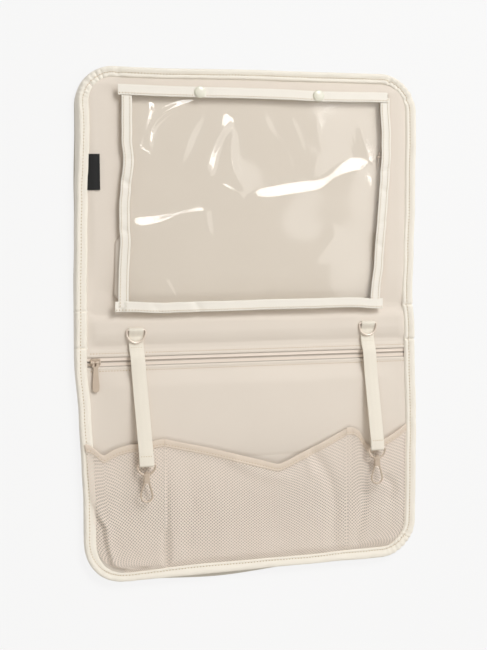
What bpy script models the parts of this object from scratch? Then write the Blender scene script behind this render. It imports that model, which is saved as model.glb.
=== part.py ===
"""Car seat protector: a soft organiser mat lying on its back.

Sizes are in millimetres and turned into metres when a mesh is made. X is the mat's width, Y its
length towards the window pocket, and Z points out of the front. The origin is the middle of the
back face.
"""

import math

import bmesh
import bpy
from mathutils import Vector

MM = 0.001

# Clearances
GAP = 0.3  # between two pieces that touch
RUNNING = 0.35  # round a pin or a bar that turns

# Body of the mat
MAT_WIDTH = 450.0
MAT_LENGTH = 640.0
MAT_CORNER = 50.0  # corner radius of the binding
BACK_LIP = 2.0  # how far the back cover shows past the binding
BACK_THICK = 5.0
BOARD_THICK = 2.5
BOARD_INSET = 15.0  # from the mat's edge to the board's edge
BOARD_CORNER = 36.0
SPINE_TOP = 19.5  # the two fold lines, where the boards stop
SPINE_BOTTOM = -26.5
FRONT_THICK = 1.2
CREASE_DEPTH = 0.5
BINDING_WIDTH = 14.0
BINDING_HEIGHT = 4.3  # above the front fabric
BINDING_WALL = 3.5

# Zip across the mat
ZIP_Y = -44.3
ZIP_OPEN = 12.0  # width of tape seen between the two fabric edges
ZIP_TAPE_THICK = 0.6
ZIP_TAPE_UNDER = 8.0  # how far the tape runs under the fabric
ZIP_COIL_WIDTH = 5.0
ZIP_COIL_THICK = 1.4
ZIP_STOP_LENGTH = 4.0
ZIP_LINING_THICK = 0.6
SLIDER_LENGTH = 13.0
SLIDER_WIDTH = 9.5
SLIDER_THICK = 2.4
SLIDER_LUG = 1.4  # thickness of each lug that holds the pull's pin
PULL_PIN = 0.8  # radius
PULL_BARREL = 1.9  # outer radius
PULL_LENGTH = 37.0
PULL_WIDTH = 8.7
PULL_THICK = 1.8

# Window pocket
WINDOW_WIDTH = 352.0
WINDOW_X = 4.0  # middle of the pocket, right of the mat's middle
WINDOW_BOTTOM = 17.0
WINDOW_TOP = 296.0
WINDOW_LEAN = 0.032  # the pocket is sewn on with a slight lean to the right
WINDOW_DEPTH = 8.2  # height of the gusset
GUSSET_THICK = 0.8
GUSSET_INSET = 4.0
FILM_THICK = 0.6
WINDOW_TAPE = 13.0
WINDOW_TAPE_THICK = 1.0
SNAP_X = 78.0  # each press stud from the middle
SNAP_RADIUS = 7.4
SNAP_HEIGHT = 2.8
STUD_RADIUS = 5.0
STUD_THICK = 0.9
SIDE_ZIP_TAPE = 6.4
SIDE_ZIP_COIL = 2.2
SIDE_ZIP_THICK = 0.5
SIDE_COIL_THICK = 0.9
SIDE_SLIDER_Y = 216.0
SIDE_SLIDER_LENGTH = 8.0
SIDE_SLIDER_THICK = 1.6
SIDE_PULL_LENGTH = 13.0
SIDE_PULL_THICK = 0.9
SIDE_PIN = 0.5

# Side label
LABEL_Y = 168.0
LABEL_LENGTH = 44.0
LABEL_WIDTH = 15.5
LABEL_THICK = 0.8

# Straps with their rings and hooks
STRAP_WIDTH = 20.0
STRAP_THICK = 1.2
STRAP_SEWN_Y = -33.0  # lower end of the part that is sewn down
STRAP_ARCH = 17.5  # height at which a strap passes over the zip
RING_WIRE = 1.25
RING_HALF = 11.9
RING_BAR_HALF = 10.6
RING_DROP = 16.0  # from the ring's bar to its round end
HOOK_HEIGHT = 26.0
LOOP_RADIUS = 11.6
HOOK_WIRE = 1.25
BOSS_WIDTH = 9.0
BOSS_LENGTH = 4.0
BOSS_THICK = 4.4
POST_RADIUS = 1.3
POST_HEAD = 2.6
POST_HEAD_THICK = 1.6
COLLAR_TOP = 7.0
COLLAR_BOTTOM = 8.6
COLLAR_LENGTH = 8.0
COLLAR_THICK = 5.0
COLLAR_SLOT = 2.0
HOOK_EYE_RADIUS = 7.4
HOOK_EYE_DROP = 39.2  # from the loop's bar to the middle of the hook's round end
HOOK_NOSE_DROP = 35.0
GATE_PIN = 0.6
GATE_EYE = 1.8

LEFT_STRAP_INSET = 72.0  # from the mat's side to the strap's middle, at its ring
RIGHT_STRAP_INSET = 68.4
LEFT_STRAP_DRIFT = 8.8  # how far a strap's lower end lies to the right of its ring
RIGHT_STRAP_DRIFT = 8.5
LEFT_RING_Y = -5.0
RIGHT_RING_Y = -3.6
LEFT_HOOK_Y = -173.2
RIGHT_HOOK_Y = -169.2

# Net pockets
NET_THICK = 0.8
NET_RISE = 5.6  # how far the net stands off the front
NET_PLEAT = 0.9
NET_RAMP = 12.0  # over which it rises from its seam
NET_HOLE = 0.5  # share of a cell that is open
NET_SEAM = 0.8  # between the net and the binding
NET_TAPE_WIDTH = 11.0
NET_TAPE_THICK = 2.2
SEAM_LEFT = -118.4
SEAM_RIGHT = 125.6
LEFT_TOP = -143.0  # the tape's upper edge at the side seams
SEAM_TOP = -141.0
LEFT_SAG = 20.0
CENTRE_SAG = 40.0
RIGHT_SAG = 30.0

# Levels worked out from the sizes above
BOARD_Z = BACK_THICK + GAP
TAPE_Z = BOARD_Z + BOARD_THICK + GAP
FRONT_Z = TAPE_Z + ZIP_TAPE_THICK + GAP
FRONT_TOP = FRONT_Z + FRONT_THICK
LAID_Z = FRONT_TOP + GAP
INNER_HALF = MAT_WIDTH / 2 - BINDING_WIDTH
INNER_LENGTH = MAT_LENGTH / 2 - BINDING_WIDTH
INNER_CORNER = MAT_CORNER - BINDING_WIDTH
FILM_Z = LAID_Z + WINDOW_DEPTH + GAP
SIDE_TAPE_Z = FILM_Z + FILM_THICK + GAP
TOP_TAPE_Z = SIDE_TAPE_Z + WINDOW_TAPE_THICK + GAP
SLIDER_X = 2 * GAP + SLIDER_LENGTH / 2 - INNER_HALF
ZIP_UPPER_EDGE = ZIP_Y + ZIP_OPEN / 2
ZIP_LOWER_EDGE = ZIP_Y - ZIP_OPEN / 2
LEFT_STRAP = {
    "side": "left",
    "x": LEFT_STRAP_INSET - MAT_WIDTH / 2,
    "ring_y": LEFT_RING_Y,
    "hook_x": LEFT_STRAP_INSET - MAT_WIDTH / 2 + LEFT_STRAP_DRIFT,
    "hook_y": LEFT_HOOK_Y,
}
RIGHT_STRAP = {
    "side": "right",
    "x": MAT_WIDTH / 2 - RIGHT_STRAP_INSET,
    "ring_y": RIGHT_RING_Y,
    "hook_x": MAT_WIDTH / 2 - RIGHT_STRAP_INSET + RIGHT_STRAP_DRIFT,
    "hook_y": RIGHT_HOOK_Y,
}
STRAPS = (LEFT_STRAP, RIGHT_STRAP)


def material(name, colour, roughness, metallic=0.0, alpha=1.0):
    """One Principled material for one piece."""
    made = bpy.data.materials.new(name)
    made.use_nodes = True
    shader = made.node_tree.nodes["Principled BSDF"]
    shader.inputs["Base Color"].default_value = (*colour, 1.0)
    shader.inputs["Roughness"].default_value = roughness
    shader.inputs["Metallic"].default_value = metallic
    shader.inputs["Alpha"].default_value = alpha
    return made


CREAM = ((0.80, 0.74, 0.64), 0.75)
PEACH = ((0.72, 0.63, 0.53), 0.55)
NET = ((0.66, 0.54, 0.45), 0.7)
WEBBING = ((0.79, 0.74, 0.64), 0.7)
COATED = ((0.72, 0.60, 0.50), 0.35, 0.2)
CAPS = ((0.82, 0.79, 0.70), 0.35)
CLEAR = ((0.95, 0.95, 0.93), 0.08, 0.0, 0.25)
BLACK = ((0.02, 0.02, 0.02), 0.6)
BOARD = ((0.55, 0.50, 0.42), 0.8)


def finish(name, bm, finish_values, location=(0.0, 0.0, 0.0), smooth_angle=35.0):
    """Turn a bmesh in millimetres about its own origin into a placed object."""
    bmesh.ops.recalc_face_normals(bm, faces=bm.faces)
    bmesh.ops.scale(bm, vec=(MM, MM, MM), verts=bm.verts)
    mesh = bpy.data.meshes.new(name)
    bm.to_mesh(mesh)
    bm.free()
    mesh.shade_smooth()
    mesh.set_sharp_from_angle(angle=math.radians(smooth_angle))
    mesh.materials.append(material(name, *finish_values))
    made = bpy.data.objects.new(name, mesh)
    made.location = Vector(location) * MM
    bpy.context.scene.collection.objects.link(made)
    return made


def bridge(bm, rings, closed_ring=True, closed_path=False):
    """Skin rings of vertices; open paths get end caps."""
    made = [[bm.verts.new(point) for point in ring] for ring in rings]
    pairs = list(zip(made, made[1:]))
    if closed_path:
        pairs.append((made[-1], made[0]))
    count = len(made[0])
    steps = count if closed_ring else count - 1
    for first, second in pairs:
        for i in range(steps):
            j = (i + 1) % count
            bm.faces.new((first[i], first[j], second[j], second[i]))
    if not closed_path:
        bm.faces.new(made[0])
        bm.faces.new(made[-1])
    return made


def rounded_outline(x_low, x_high, y_low, y_high, radii, z=0.0, steps=7):
    """Points of a rectangle with its own radius at each corner (from lower left, anticlockwise)."""
    corners = (
        (x_low, y_low, 1, 1, 180.0),
        (x_high, y_low, -1, 1, 270.0),
        (x_high, y_high, -1, -1, 0.0),
        (x_low, y_high, 1, -1, 90.0),
    )
    points = []
    for (x, y, way_x, way_y, start), radius in zip(corners, radii):
        if radius <= 0:
            points.append(Vector((x, y, z)))
            continue
        middle = Vector((x + way_x * radius, y + way_y * radius, z))
        for k in range(steps + 1):
            turn = math.radians(start + 90.0 * k / steps)
            points.append(middle + Vector((math.cos(turn), math.sin(turn), 0.0)) * radius)
    return points


def mat_outline(inset, z):
    """The mat's outline, moved in by inset."""
    half_w = MAT_WIDTH / 2 - inset
    half_l = MAT_LENGTH / 2 - inset
    return rounded_outline(-half_w, half_w, -half_l, half_l, [MAT_CORNER - inset] * 4, z)


def plate(name, outline_at, levels, values):
    """A solid skinned through outlines: levels are (inset, z) from the bottom up."""
    bm = bmesh.new()
    bridge(bm, [outline_at(inset, z) for inset, z in levels])
    return finish(name, bm, values)


def box_outline(x_low, x_high, y_low, y_high, radii=(0, 0, 0, 0), steps=7):
    def outline_at(inset, z):
        inner = [max(radius - inset, 0) if radius else 0 for radius in radii]
        return rounded_outline(
            x_low + inset, x_high - inset, y_low + inset, y_high - inset, inner, z, steps
        )

    return outline_at


def leaning(outline_at):
    """The same outline in the window pocket's slight lean."""

    def outline(inset, z):
        return [lean(point) for point in outline_at(inset, z)]

    return outline


def lean(point):
    shift = WINDOW_X + WINDOW_LEAN * (point.y - (WINDOW_BOTTOM + WINDOW_TOP) / 2)
    return Vector((point.x + shift, point.y, point.z))


def box(name, x_low, x_high, y_low, y_high, z_low, z_high, values, bevel=0.0, about=(0, 0, 0)):
    """A box, with its origin at about and optional worn edges."""
    bm = bmesh.new()
    bmesh.ops.create_cube(bm, size=1.0)
    size = Vector((x_high - x_low, y_high - y_low, z_high - z_low))
    middle = Vector((x_low + x_high, y_low + y_high, z_low + z_high)) / 2
    for vert in bm.verts:
        vert.co = Vector(a * b for a, b in zip(vert.co, size)) + middle - Vector(about)
    if bevel > 0:
        bmesh.ops.bevel(bm, geom=bm.edges[:], offset=bevel, segments=2, profile=0.5, affect="EDGES")
    return finish(name, bm, values, about)


def grid_solid(name, rows, thick, values, holes=(), hole=NET_HOLE):
    """A closed sheet over rows of points, thick upwards, with an opening in each listed cell."""
    bm = bmesh.new()
    low = [[bm.verts.new(point) for point in row] for row in rows]
    high = [[bm.verts.new(point + Vector((0, 0, thick))) for point in row] for row in rows]
    count_r, count_c = len(rows) - 1, len(rows[0]) - 1
    for r in range(count_r):
        for c in range(count_c):
            cells = []
            for layer in (low, high):
                cells.append((layer[r][c], layer[r][c + 1], layer[r + 1][c + 1], layer[r + 1][c]))
            if (r, c) not in holes:
                bm.faces.new(cells[0])
                bm.faces.new(cells[1])
                continue
            inner = []
            for cell in cells:
                middle = sum((v.co for v in cell), Vector()) / 4
                inner.append([bm.verts.new(middle.lerp(v.co, hole)) for v in cell])
            for cell, ring in zip(cells, inner):
                for i in range(4):
                    j = (i + 1) % 4
                    bm.faces.new((cell[i], cell[j], ring[j], ring[i]))
            for i in range(4):
                j = (i + 1) % 4
                bm.faces.new((inner[0][i], inner[0][j], inner[1][j], inner[1][i]))
    border = [(0, c) for c in range(count_c)]
    border += [(r, count_c) for r in range(count_r)]
    border += [(count_r, c) for c in range(count_c, 0, -1)]
    border += [(r, 0) for r in range(count_r, 0, -1)]
    for (r, c), (r_next, c_next) in zip(border, border[1:] + border[:1]):
        bm.faces.new((low[r][c], low[r_next][c_next], high[r_next][c_next], high[r][c]))
    return finish(name, bm, values)


def wire_rings(points, radius, closed, sides=8):
    """Rings of a round wire along points that lie in a plane of constant z."""
    rings = []
    count = len(points)
    for i, point in enumerate(points):
        before = points[i - 1] if closed or i else points[0]
        after = points[(i + 1) % count] if closed or i + 1 < count else points[-1]
        way = (after - before).normalized()
        across = Vector((way.y, -way.x, 0.0))
        rings.append(
            [
                point
                + across * radius * math.cos(math.tau * k / sides)
                + Vector((0, 0, 1)) * radius * math.sin(math.tau * k / sides)
                for k in range(sides)
            ]
        )
    return rings


def arc(middle, radius_x, radius_y, start, stop, steps, z=0.0):
    """Points on an ellipse arc, in degrees."""
    turns = [math.radians(start + (stop - start) * k / steps) for k in range(steps + 1)]
    return [
        Vector((middle[0] + radius_x * math.cos(t), middle[1] + radius_y * math.sin(t), z))
        for t in turns
    ]


def cylinder(bm, radius, low, high, axis, centre=(0, 0, 0), sides=16):
    """A closed cylinder between two values on an axis, through centre."""
    rings = []
    for level in (low, high):
        ring = []
        for k in range(sides):
            turn = math.tau * k / sides
            u, v = radius * math.cos(turn), radius * math.sin(turn)
            point = {"x": (level, u, v), "y": (v, level, u), "z": (u, v, level)}[axis]
            ring.append(Vector(point) + Vector(centre))
        rings.append(ring)
    bridge(bm, rings)


def solid(name, build, values=COATED):
    """A loose solid to join or cut with."""
    bm = bmesh.new()
    build(bm)
    return finish(name, bm, values)


def combine(target, others, operation):
    """Apply exact Booleans and drop the tools."""
    for other in others:
        change = target.modifiers.new(other.name, "BOOLEAN")
        change.operation = operation
        change.solver = "EXACT"
        change.object = other
        bpy.context.view_layer.update()
        evaluated = target.evaluated_get(bpy.context.evaluated_depsgraph_get())
        mesh = bpy.data.meshes.new_from_object(evaluated)
        target.modifiers.clear()
        target.data = mesh
        bpy.data.objects.remove(other)
    return target


def set_origin(made, origin):
    """Move an object's origin without moving its shape."""
    shift = made.location - Vector(origin) * MM
    for vert in made.data.vertices:
        vert.co += shift
    made.location = Vector(origin) * MM


def body():
    """Back cover, boards, front fabric and the binding round them."""
    plate(
        "back_cover",
        mat_outline,
        [(1.0, 0.0), (-BACK_LIP, 1.6), (-BACK_LIP, BACK_THICK - 1.6), (0.6, BACK_THICK)],
        CREAM,
    )
    half = MAT_WIDTH / 2 - BOARD_INSET
    top = MAT_LENGTH / 2 - BOARD_INSET
    levels = [(0.0, BOARD_Z), (0.0, BOARD_Z + BOARD_THICK)]
    round_top = (0, 0, BOARD_CORNER, BOARD_CORNER)
    round_bottom = (BOARD_CORNER, BOARD_CORNER, 0, 0)
    board_low = SPINE_TOP + 2.0
    plate("upper_board", box_outline(-half, half, board_low, top, round_top), levels, BOARD)
    spine_low = max(SPINE_BOTTOM + 2.0, ZIP_Y + ZIP_COIL_WIDTH)
    plate("spine_pad", box_outline(-half, half, spine_low, SPINE_TOP - 2.0), levels, BOARD)
    board_high = ZIP_LOWER_EDGE - ZIP_TAPE_UNDER
    plate("lower_board", box_outline(-half, half, -top, board_high, round_bottom), levels, BOARD)
    front_panel("front_panel_upper", ZIP_UPPER_EDGE, MAT_LENGTH / 2 - BINDING_WALL - GAP)
    front_panel("front_panel_lower", BINDING_WALL + GAP - MAT_LENGTH / 2, ZIP_LOWER_EDGE)
    lip = FRONT_TOP + GAP
    crown = FRONT_TOP + BINDING_HEIGHT
    profile = (
        (0.9, BOARD_Z),
        (0.0, BOARD_Z + 2.0),
        (0.5, crown - 3.0),
        (2.8, crown - 0.7),
        (6.0, crown),
        (BINDING_WIDTH - 3.4, crown - 1.2),
        (BINDING_WIDTH - 2.9, crown - 1.8),
        (BINDING_WIDTH - 0.5, crown - 2.3),
        (BINDING_WIDTH, lip + 0.8),
        (BINDING_WIDTH, lip),
        (BINDING_WALL, lip),
        (BINDING_WALL, BOARD_Z),
    )
    bm = bmesh.new()
    bridge(bm, [mat_outline(inset, z) for inset, z in profile], closed_path=True)
    finish("edge_binding", bm, CREAM)
    label_x = GAP - INNER_HALF
    box(
        "side_label",
        label_x,
        label_x + LABEL_WIDTH,
        LABEL_Y,
        LABEL_Y + LABEL_LENGTH,
        LAID_Z,
        LAID_Z + LABEL_THICK,
        BLACK,
        bevel=0.2,
    )


def half_width(y):
    """Half the width of the front fabric at y, inside the binding's wall."""
    inset = BINDING_WALL + GAP
    radius = MAT_CORNER - inset
    straight = MAT_LENGTH / 2 - MAT_CORNER
    past = max(abs(y) - straight, 0.0)
    across = math.sqrt(max(radius * radius - past * past, 0.0))
    return MAT_WIDTH / 2 - inset - radius + across


def front_panel(name, y_low, y_high):
    """Front fabric from y_low to y_high, with a groove at each fold line."""
    ys = [y_low, y_high]
    straight = MAT_LENGTH / 2 - MAT_CORNER
    radius = MAT_CORNER - BINDING_WALL - GAP
    for k in range(1, 7):
        level = straight + radius * math.sin(math.radians(15.0 * k))
        ys += [level, -level]
    ys += [straight, -straight]
    for fold in (SPINE_TOP, SPINE_BOTTOM):
        ys += [fold - 3.0, fold, fold + 3.0]
    ys = sorted({round(y, 3) for y in ys if y_low <= y <= y_high})
    rows = []
    for y in ys:
        near = min(abs(y - SPINE_TOP), abs(y - SPINE_BOTTOM))
        dip = CREASE_DEPTH * max(0.0, 1.0 - near / 3.0)
        reach = half_width(y)
        rows.append([Vector((u * reach / 4, y, FRONT_Z - dip)) for u in range(-4, 5)])
    return grid_solid(name, rows, FRONT_THICK, PEACH)


def zip_parts():
    """The zip across the mat: lining, tapes, coil, stops, slider and pull."""
    half = MAT_WIDTH / 2 - BOARD_INSET
    reach = ZIP_OPEN / 2 + ZIP_TAPE_UNDER
    slot_high = max(SPINE_BOTTOM + 2.0, ZIP_Y + ZIP_COIL_WIDTH) - GAP
    slot_low = ZIP_LOWER_EDGE - ZIP_TAPE_UNDER + GAP
    lining = (-half, half, slot_low, slot_high, BOARD_Z, BOARD_Z + ZIP_LINING_THICK)
    box("zip_lining", *lining, PEACH)
    tape = (TAPE_Z, TAPE_Z + ZIP_TAPE_THICK)
    box("zip_tape_upper", -half, half, ZIP_Y + GAP, ZIP_Y + reach, *tape, PEACH)
    box("zip_tape_lower", -half, half, ZIP_Y - reach, ZIP_Y - GAP, *tape, PEACH)
    coil_top = TAPE_Z - GAP
    coil_end = half - ZIP_STOP_LENGTH - GAP
    coil_y = ZIP_COIL_WIDTH / 2
    coil = (ZIP_Y - coil_y, ZIP_Y + coil_y, coil_top - ZIP_COIL_THICK, coil_top)
    box("zip_coil", -coil_end, coil_end, *coil, PEACH)
    box("zip_stop_left", -half, -half + ZIP_STOP_LENGTH, *coil, COATED, bevel=0.2)
    box("zip_stop_right", half - ZIP_STOP_LENGTH, half, *coil, COATED, bevel=0.2)
    slider_and_pull()


def slider_and_pull():
    """Slider on the tape, with two lugs and a pin that the pull's eye turns on."""
    low = TAPE_Z + ZIP_TAPE_THICK + GAP
    top = low + SLIDER_THICK
    pin_z = max(top, FRONT_TOP) + PULL_BARREL + GAP
    place = (SLIDER_X, ZIP_Y, low)
    outline = box_outline(
        -SLIDER_LENGTH / 2, SLIDER_LENGTH / 2, -SLIDER_WIDTH / 2, SLIDER_WIDTH / 2, (2.5,) * 4, 4
    )
    levels = [(0.3, 0.0), (0.0, 0.4), (0.0, SLIDER_THICK - 0.6), (0.7, SLIDER_THICK)]
    slider = plate("zip_slider", outline, levels, COATED)
    slider.location = Vector(place) * MM
    lug_in = PULL_WIDTH / 2 + GAP
    tools = []
    for way in (-1, 1):

        def lug(bm, way=way):
            middle = (0, 0, 0)
            ends = sorted((way * lug_in, way * (lug_in + SLIDER_LUG)))
            centre = (SLIDER_X, ZIP_Y, pin_z)
            cylinder(bm, PULL_BARREL + 0.3, *ends, "x", centre, 14)

        def foot(bm, way=way):
            ends = sorted((way * lug_in, way * (lug_in + SLIDER_LUG)))
            low_z, high_z = top - 0.8, pin_z
            bmesh.ops.create_cube(bm, size=1.0)
            for vert in bm.verts:
                x = SLIDER_X + (ends[0] if vert.co.x < 0 else ends[1])
                y = ZIP_Y + (PULL_BARREL if vert.co.y > 0 else -PULL_BARREL)
                vert.co = Vector((x, y, high_z if vert.co.z > 0 else low_z))

        tools.append(solid("lug", lug))
        tools.append(solid("lug_foot", foot))

    def pin(bm):
        cylinder(bm, PULL_PIN, -lug_in - 0.5, lug_in + 0.5, "x", (SLIDER_X, ZIP_Y, pin_z), 12)

    tools.append(solid("pin", pin))
    combine(slider, tools, "UNION")

    pull = plate("zip_pull", pull_outline, [(0.3, 0), (0, 0.35), (0, 1.45), (0.3, 1.8)], COATED)
    scale_to(pull, PULL_THICK / 1.8)
    pull.location = Vector((SLIDER_X, ZIP_Y, pin_z - PULL_THICK / 2)) * MM
    set_origin(pull, (SLIDER_X, ZIP_Y, pin_z))
    half = PULL_WIDTH / 2

    def barrel(bm):
        cylinder(bm, PULL_BARREL, -half, half, "x", (SLIDER_X, ZIP_Y, pin_z), 14)

    def bore(bm):
        reach = half + 1.0
        cylinder(bm, PULL_PIN + RUNNING, -reach, reach, "x", (SLIDER_X, ZIP_Y, pin_z), 14)

    def slot(bm):
        bmesh.ops.create_cube(bm, size=1.0)
        for vert in bm.verts:
            x = SLIDER_X + (-1.6 if vert.co.x < 0 else 0.6)
            y = ZIP_Y + (PULL_BARREL + 1 if vert.co.y > 0 else -PULL_BARREL - 2.8)
            vert.co = Vector((x, y, pin_z + (5 if vert.co.z > 0 else -5)))

    combine(pull, [solid("barrel", barrel)], "UNION")
    combine(pull, [solid("bore", bore), solid("slot", slot)], "DIFFERENCE")


def pull_outline(inset, z):
    """Outline of the long pull: a neck at the pin, then a tag with a round end."""
    half = PULL_WIDTH / 2
    neck = half - 1.6
    end = -PULL_LENGTH
    points = [(half, 0.5), (-half, 0.5), (-half, -PULL_BARREL - 3.2), (-neck, -PULL_BARREL - 5.0)]
    points.append((-half, end + 9.0))
    points += [(p.x, p.y) for p in arc((0, end + half), half, half, 180, 360, 8)]
    points += [(half, end + 9.0), (neck, -PULL_BARREL - 5.0), (half, -PULL_BARREL - 3.2)]
    shrink = (half - inset) / half
    middle = -PULL_LENGTH / 2
    stretch = (PULL_LENGTH / 2 - inset) / (PULL_LENGTH / 2)
    return [Vector((x * shrink, middle + (y - middle) * stretch, z)) for x, y in points]


def scale_to(made, factor):
    """Scale a mesh's thickness, its z, about its own origin."""
    for vert in made.data.vertices:
        vert.co.z *= factor


def window_pocket():
    """Clear pocket: gusset, film, four tapes, studs and the zip in its right side."""
    half = WINDOW_WIDTH / 2
    outer = box_outline(-half, half, WINDOW_BOTTOM, WINDOW_TOP)
    wall_z = (LAID_Z, LAID_Z + WINDOW_DEPTH)
    inner = GUSSET_INSET + GUSSET_THICK
    bm = bmesh.new()
    corners = ((GUSSET_INSET, wall_z[0]), (GUSSET_INSET, wall_z[1]), (inner, wall_z[1]))
    rings = [leaning(outer)(inset, z) for inset, z in corners + ((inner, wall_z[0]),)]
    bridge(bm, rings, closed_path=True)
    finish("window_gusset", bm, PEACH)
    film = [(1.0, FILM_Z), (1.0, FILM_Z + FILM_THICK)]
    plate("window_film", leaning(outer), film, CLEAR)
    low, high = WINDOW_BOTTOM + WINDOW_TAPE / 2, WINDOW_TOP - WINDOW_TAPE / 2
    side = [(0.0, SIDE_TAPE_Z), (0.0, SIDE_TAPE_Z + WINDOW_TAPE_THICK)]
    ends = [(0.0, TOP_TAPE_Z), (0.0, TOP_TAPE_Z + WINDOW_TAPE_THICK)]
    tapes = (
        ("window_tape_left", -half, -half + WINDOW_TAPE, low, high, side),
        ("window_tape_right", half - WINDOW_TAPE, half, low, high, side),
        ("window_tape_bottom", -half, half, WINDOW_BOTTOM, WINDOW_BOTTOM + WINDOW_TAPE, ends),
        ("window_tape_top", -half, half, WINDOW_TOP - WINDOW_TAPE, WINDOW_TOP, ends),
    )
    for name, x_low, x_high, y_low, y_high, levels in tapes:
        plate(name, leaning(box_outline(x_low, x_high, y_low, y_high)), levels, CREAM)
    for way, side_name in ((-1, "left"), (1, "right")):
        snap(way * SNAP_X, side_name)
    side_zip(half - inner)


def turned(name, profile, place, values, sides=24):
    """A solid of revolution about Z from (radius, z) pairs, bottom to top."""
    bm = bmesh.new()
    rings = []
    for radius, z in profile:
        turns = [math.tau * k / sides for k in range(sides)]
        rings.append([Vector((radius * math.cos(t), radius * math.sin(t), z)) for t in turns])
    bridge(bm, rings)
    return finish(name, bm, values, place)


def snap(x, side_name):
    """A press stud: its cap on the top tape and its base under the tape."""
    place = lean(Vector((x, WINDOW_TOP - WINDOW_TAPE / 2, 0.0)))
    cap_z = TOP_TAPE_Z + WINDOW_TAPE_THICK + GAP
    r, h = SNAP_RADIUS, SNAP_HEIGHT
    dome = [(r * 0.93, 0), (r, h * 0.2), (r * 0.97, h * 0.4), (r * 0.8, h * 0.72)]
    dome += [(r * 0.5, h * 0.93), (r * 0.2, h)]
    turned("snap_cap_" + side_name, dome, (place.x, place.y, cap_z), CAPS)
    base = [(STUD_RADIUS, 0.0), (STUD_RADIUS, STUD_THICK)]
    base_z = FILM_Z + FILM_THICK + GAP
    turned("snap_stud_" + side_name, base, (place.x, place.y, base_z), CAPS, 16)


def side_zip(wall_x):
    """Zip on the inner face of the right gusset, with its own slider and pull."""
    y_low = WINDOW_BOTTOM + WINDOW_TAPE + 4.0
    y_high = WINDOW_TOP - WINDOW_TAPE - 4.0
    middle_z = LAID_Z + WINDOW_DEPTH / 2

    def strip(name, near, thick, tall, values):
        x_high = wall_x - near
        outline = leaning(box_outline(x_high - thick, x_high, y_low, y_high))
        levels = [(0.0, middle_z - tall / 2), (0.0, middle_z + tall / 2)]
        plate(name, outline, levels, values)

    strip("side_zip_tape", GAP, SIDE_ZIP_THICK, SIDE_ZIP_TAPE, PEACH)
    coil_near = GAP + SIDE_ZIP_THICK + GAP
    strip("side_zip_coil", coil_near, SIDE_COIL_THICK, SIDE_ZIP_COIL, PEACH)
    at_slider = lean(Vector((wall_x, SIDE_SLIDER_Y, 0.0)))
    tilt = WINDOW_LEAN * SIDE_SLIDER_LENGTH
    near = at_slider.x - coil_near - SIDE_COIL_THICK - GAP - tilt / 2
    half = SIDE_SLIDER_LENGTH / 2
    tall = SIDE_ZIP_COIL + 1.6
    slider = box(
        "side_zip_slider",
        near - SIDE_SLIDER_THICK,
        near,
        SIDE_SLIDER_Y - half,
        SIDE_SLIDER_Y + half,
        middle_z - tall / 2,
        middle_z + tall / 2,
        COATED,
        bevel=0.3,
        about=(near, SIDE_SLIDER_Y, middle_z),
    )
    pin_x = near - SIDE_SLIDER_THICK - SIDE_PIN - RUNNING - 0.6
    pin_y = SIDE_SLIDER_Y - half + 2.0
    lug_low = middle_z - tall / 2

    def lug(level):
        def build(bm):
            bmesh.ops.create_cube(bm, size=1.0)
            for vert in bm.verts:
                x = near - SIDE_SLIDER_THICK + 0.3 if vert.co.x > 0 else pin_x - 1.0
                y = pin_y + (1.2 if vert.co.y > 0 else -1.2)
                vert.co = Vector((x, y, level + (0.8 if vert.co.z > 0 else 0.0)))

        return build

    def pin(bm):
        cylinder(bm, SIDE_PIN, lug_low + 0.4, lug_low + tall - 0.4, "z", (pin_x, pin_y, 0), 10)

    upper = lug_low + tall - 0.8
    tools = [solid("lug", lug(lug_low)), solid("lug", lug(upper)), solid("pin", pin)]
    combine(slider, tools, "UNION")
    eye_low = lug_low + 0.8 + GAP
    eye_high = upper - GAP
    pull = box(
        "side_zip_pull",
        pin_x - SIDE_PULL_THICK / 2,
        pin_x + SIDE_PULL_THICK / 2,
        pin_y - SIDE_PULL_LENGTH,
        pin_y,
        eye_low,
        eye_high,
        COATED,
        about=(pin_x, pin_y, middle_z),
    )

    def barrel(bm):
        cylinder(bm, SIDE_PIN + RUNNING + 0.5, eye_low, eye_high, "z", (pin_x, pin_y, 0), 12)

    def bore(bm):
        cylinder(bm, SIDE_PIN + RUNNING, eye_low - 1, eye_high + 1, "z", (pin_x, pin_y, 0), 12)

    combine(pull, [solid("barrel", barrel)], "UNION")
    combine(pull, [solid("bore", bore)], "DIFFERENCE")


def ribbon(name, path, shift, values):
    """Webbing: a rectangle swept along (y, z) points, moved sideways by shift(y)."""
    points = [Vector((0.0, y, z)) for y, z in path]
    rings = []
    for i, point in enumerate(points):
        way = Vector()
        if i:
            way += (point - points[i - 1]).normalized()
        if i + 1 < len(points):
            way += (points[i + 1] - point).normalized()
        way.normalize()
        up = Vector((0.0, -way.z, way.y)) * STRAP_THICK / 2
        ring = []
        for across, lift in ((-1, -1), (1, -1), (1, 1), (-1, 1)):
            corner = point + up * lift
            corner.x = across * STRAP_WIDTH / 2 + shift(corner.y)
            ring.append(corner)
        rings.append(ring)
    bm = bmesh.new()
    bridge(bm, rings)
    return finish(name, bm, values, smooth_angle=50.0)


def wrap(y, z_low, z_high, start, stop, steps=6):
    """Half turn of webbing round a bar, as (y, z) points from z_low to z_high or back."""
    middle, radius = (z_low + z_high) / 2, (z_high - z_low) / 2
    turns = [math.radians(start + (stop - start) * k / steps) for k in range(steps + 1)]
    return [(y + radius * math.cos(t), middle + radius * math.sin(t)) for t in turns]


def ring_level():
    """Height of a strap ring's wire: clear of two layers of webbing."""
    return LAID_Z + 2 * STRAP_THICK + 2 * GAP + RING_WIRE + 0.4


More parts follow.
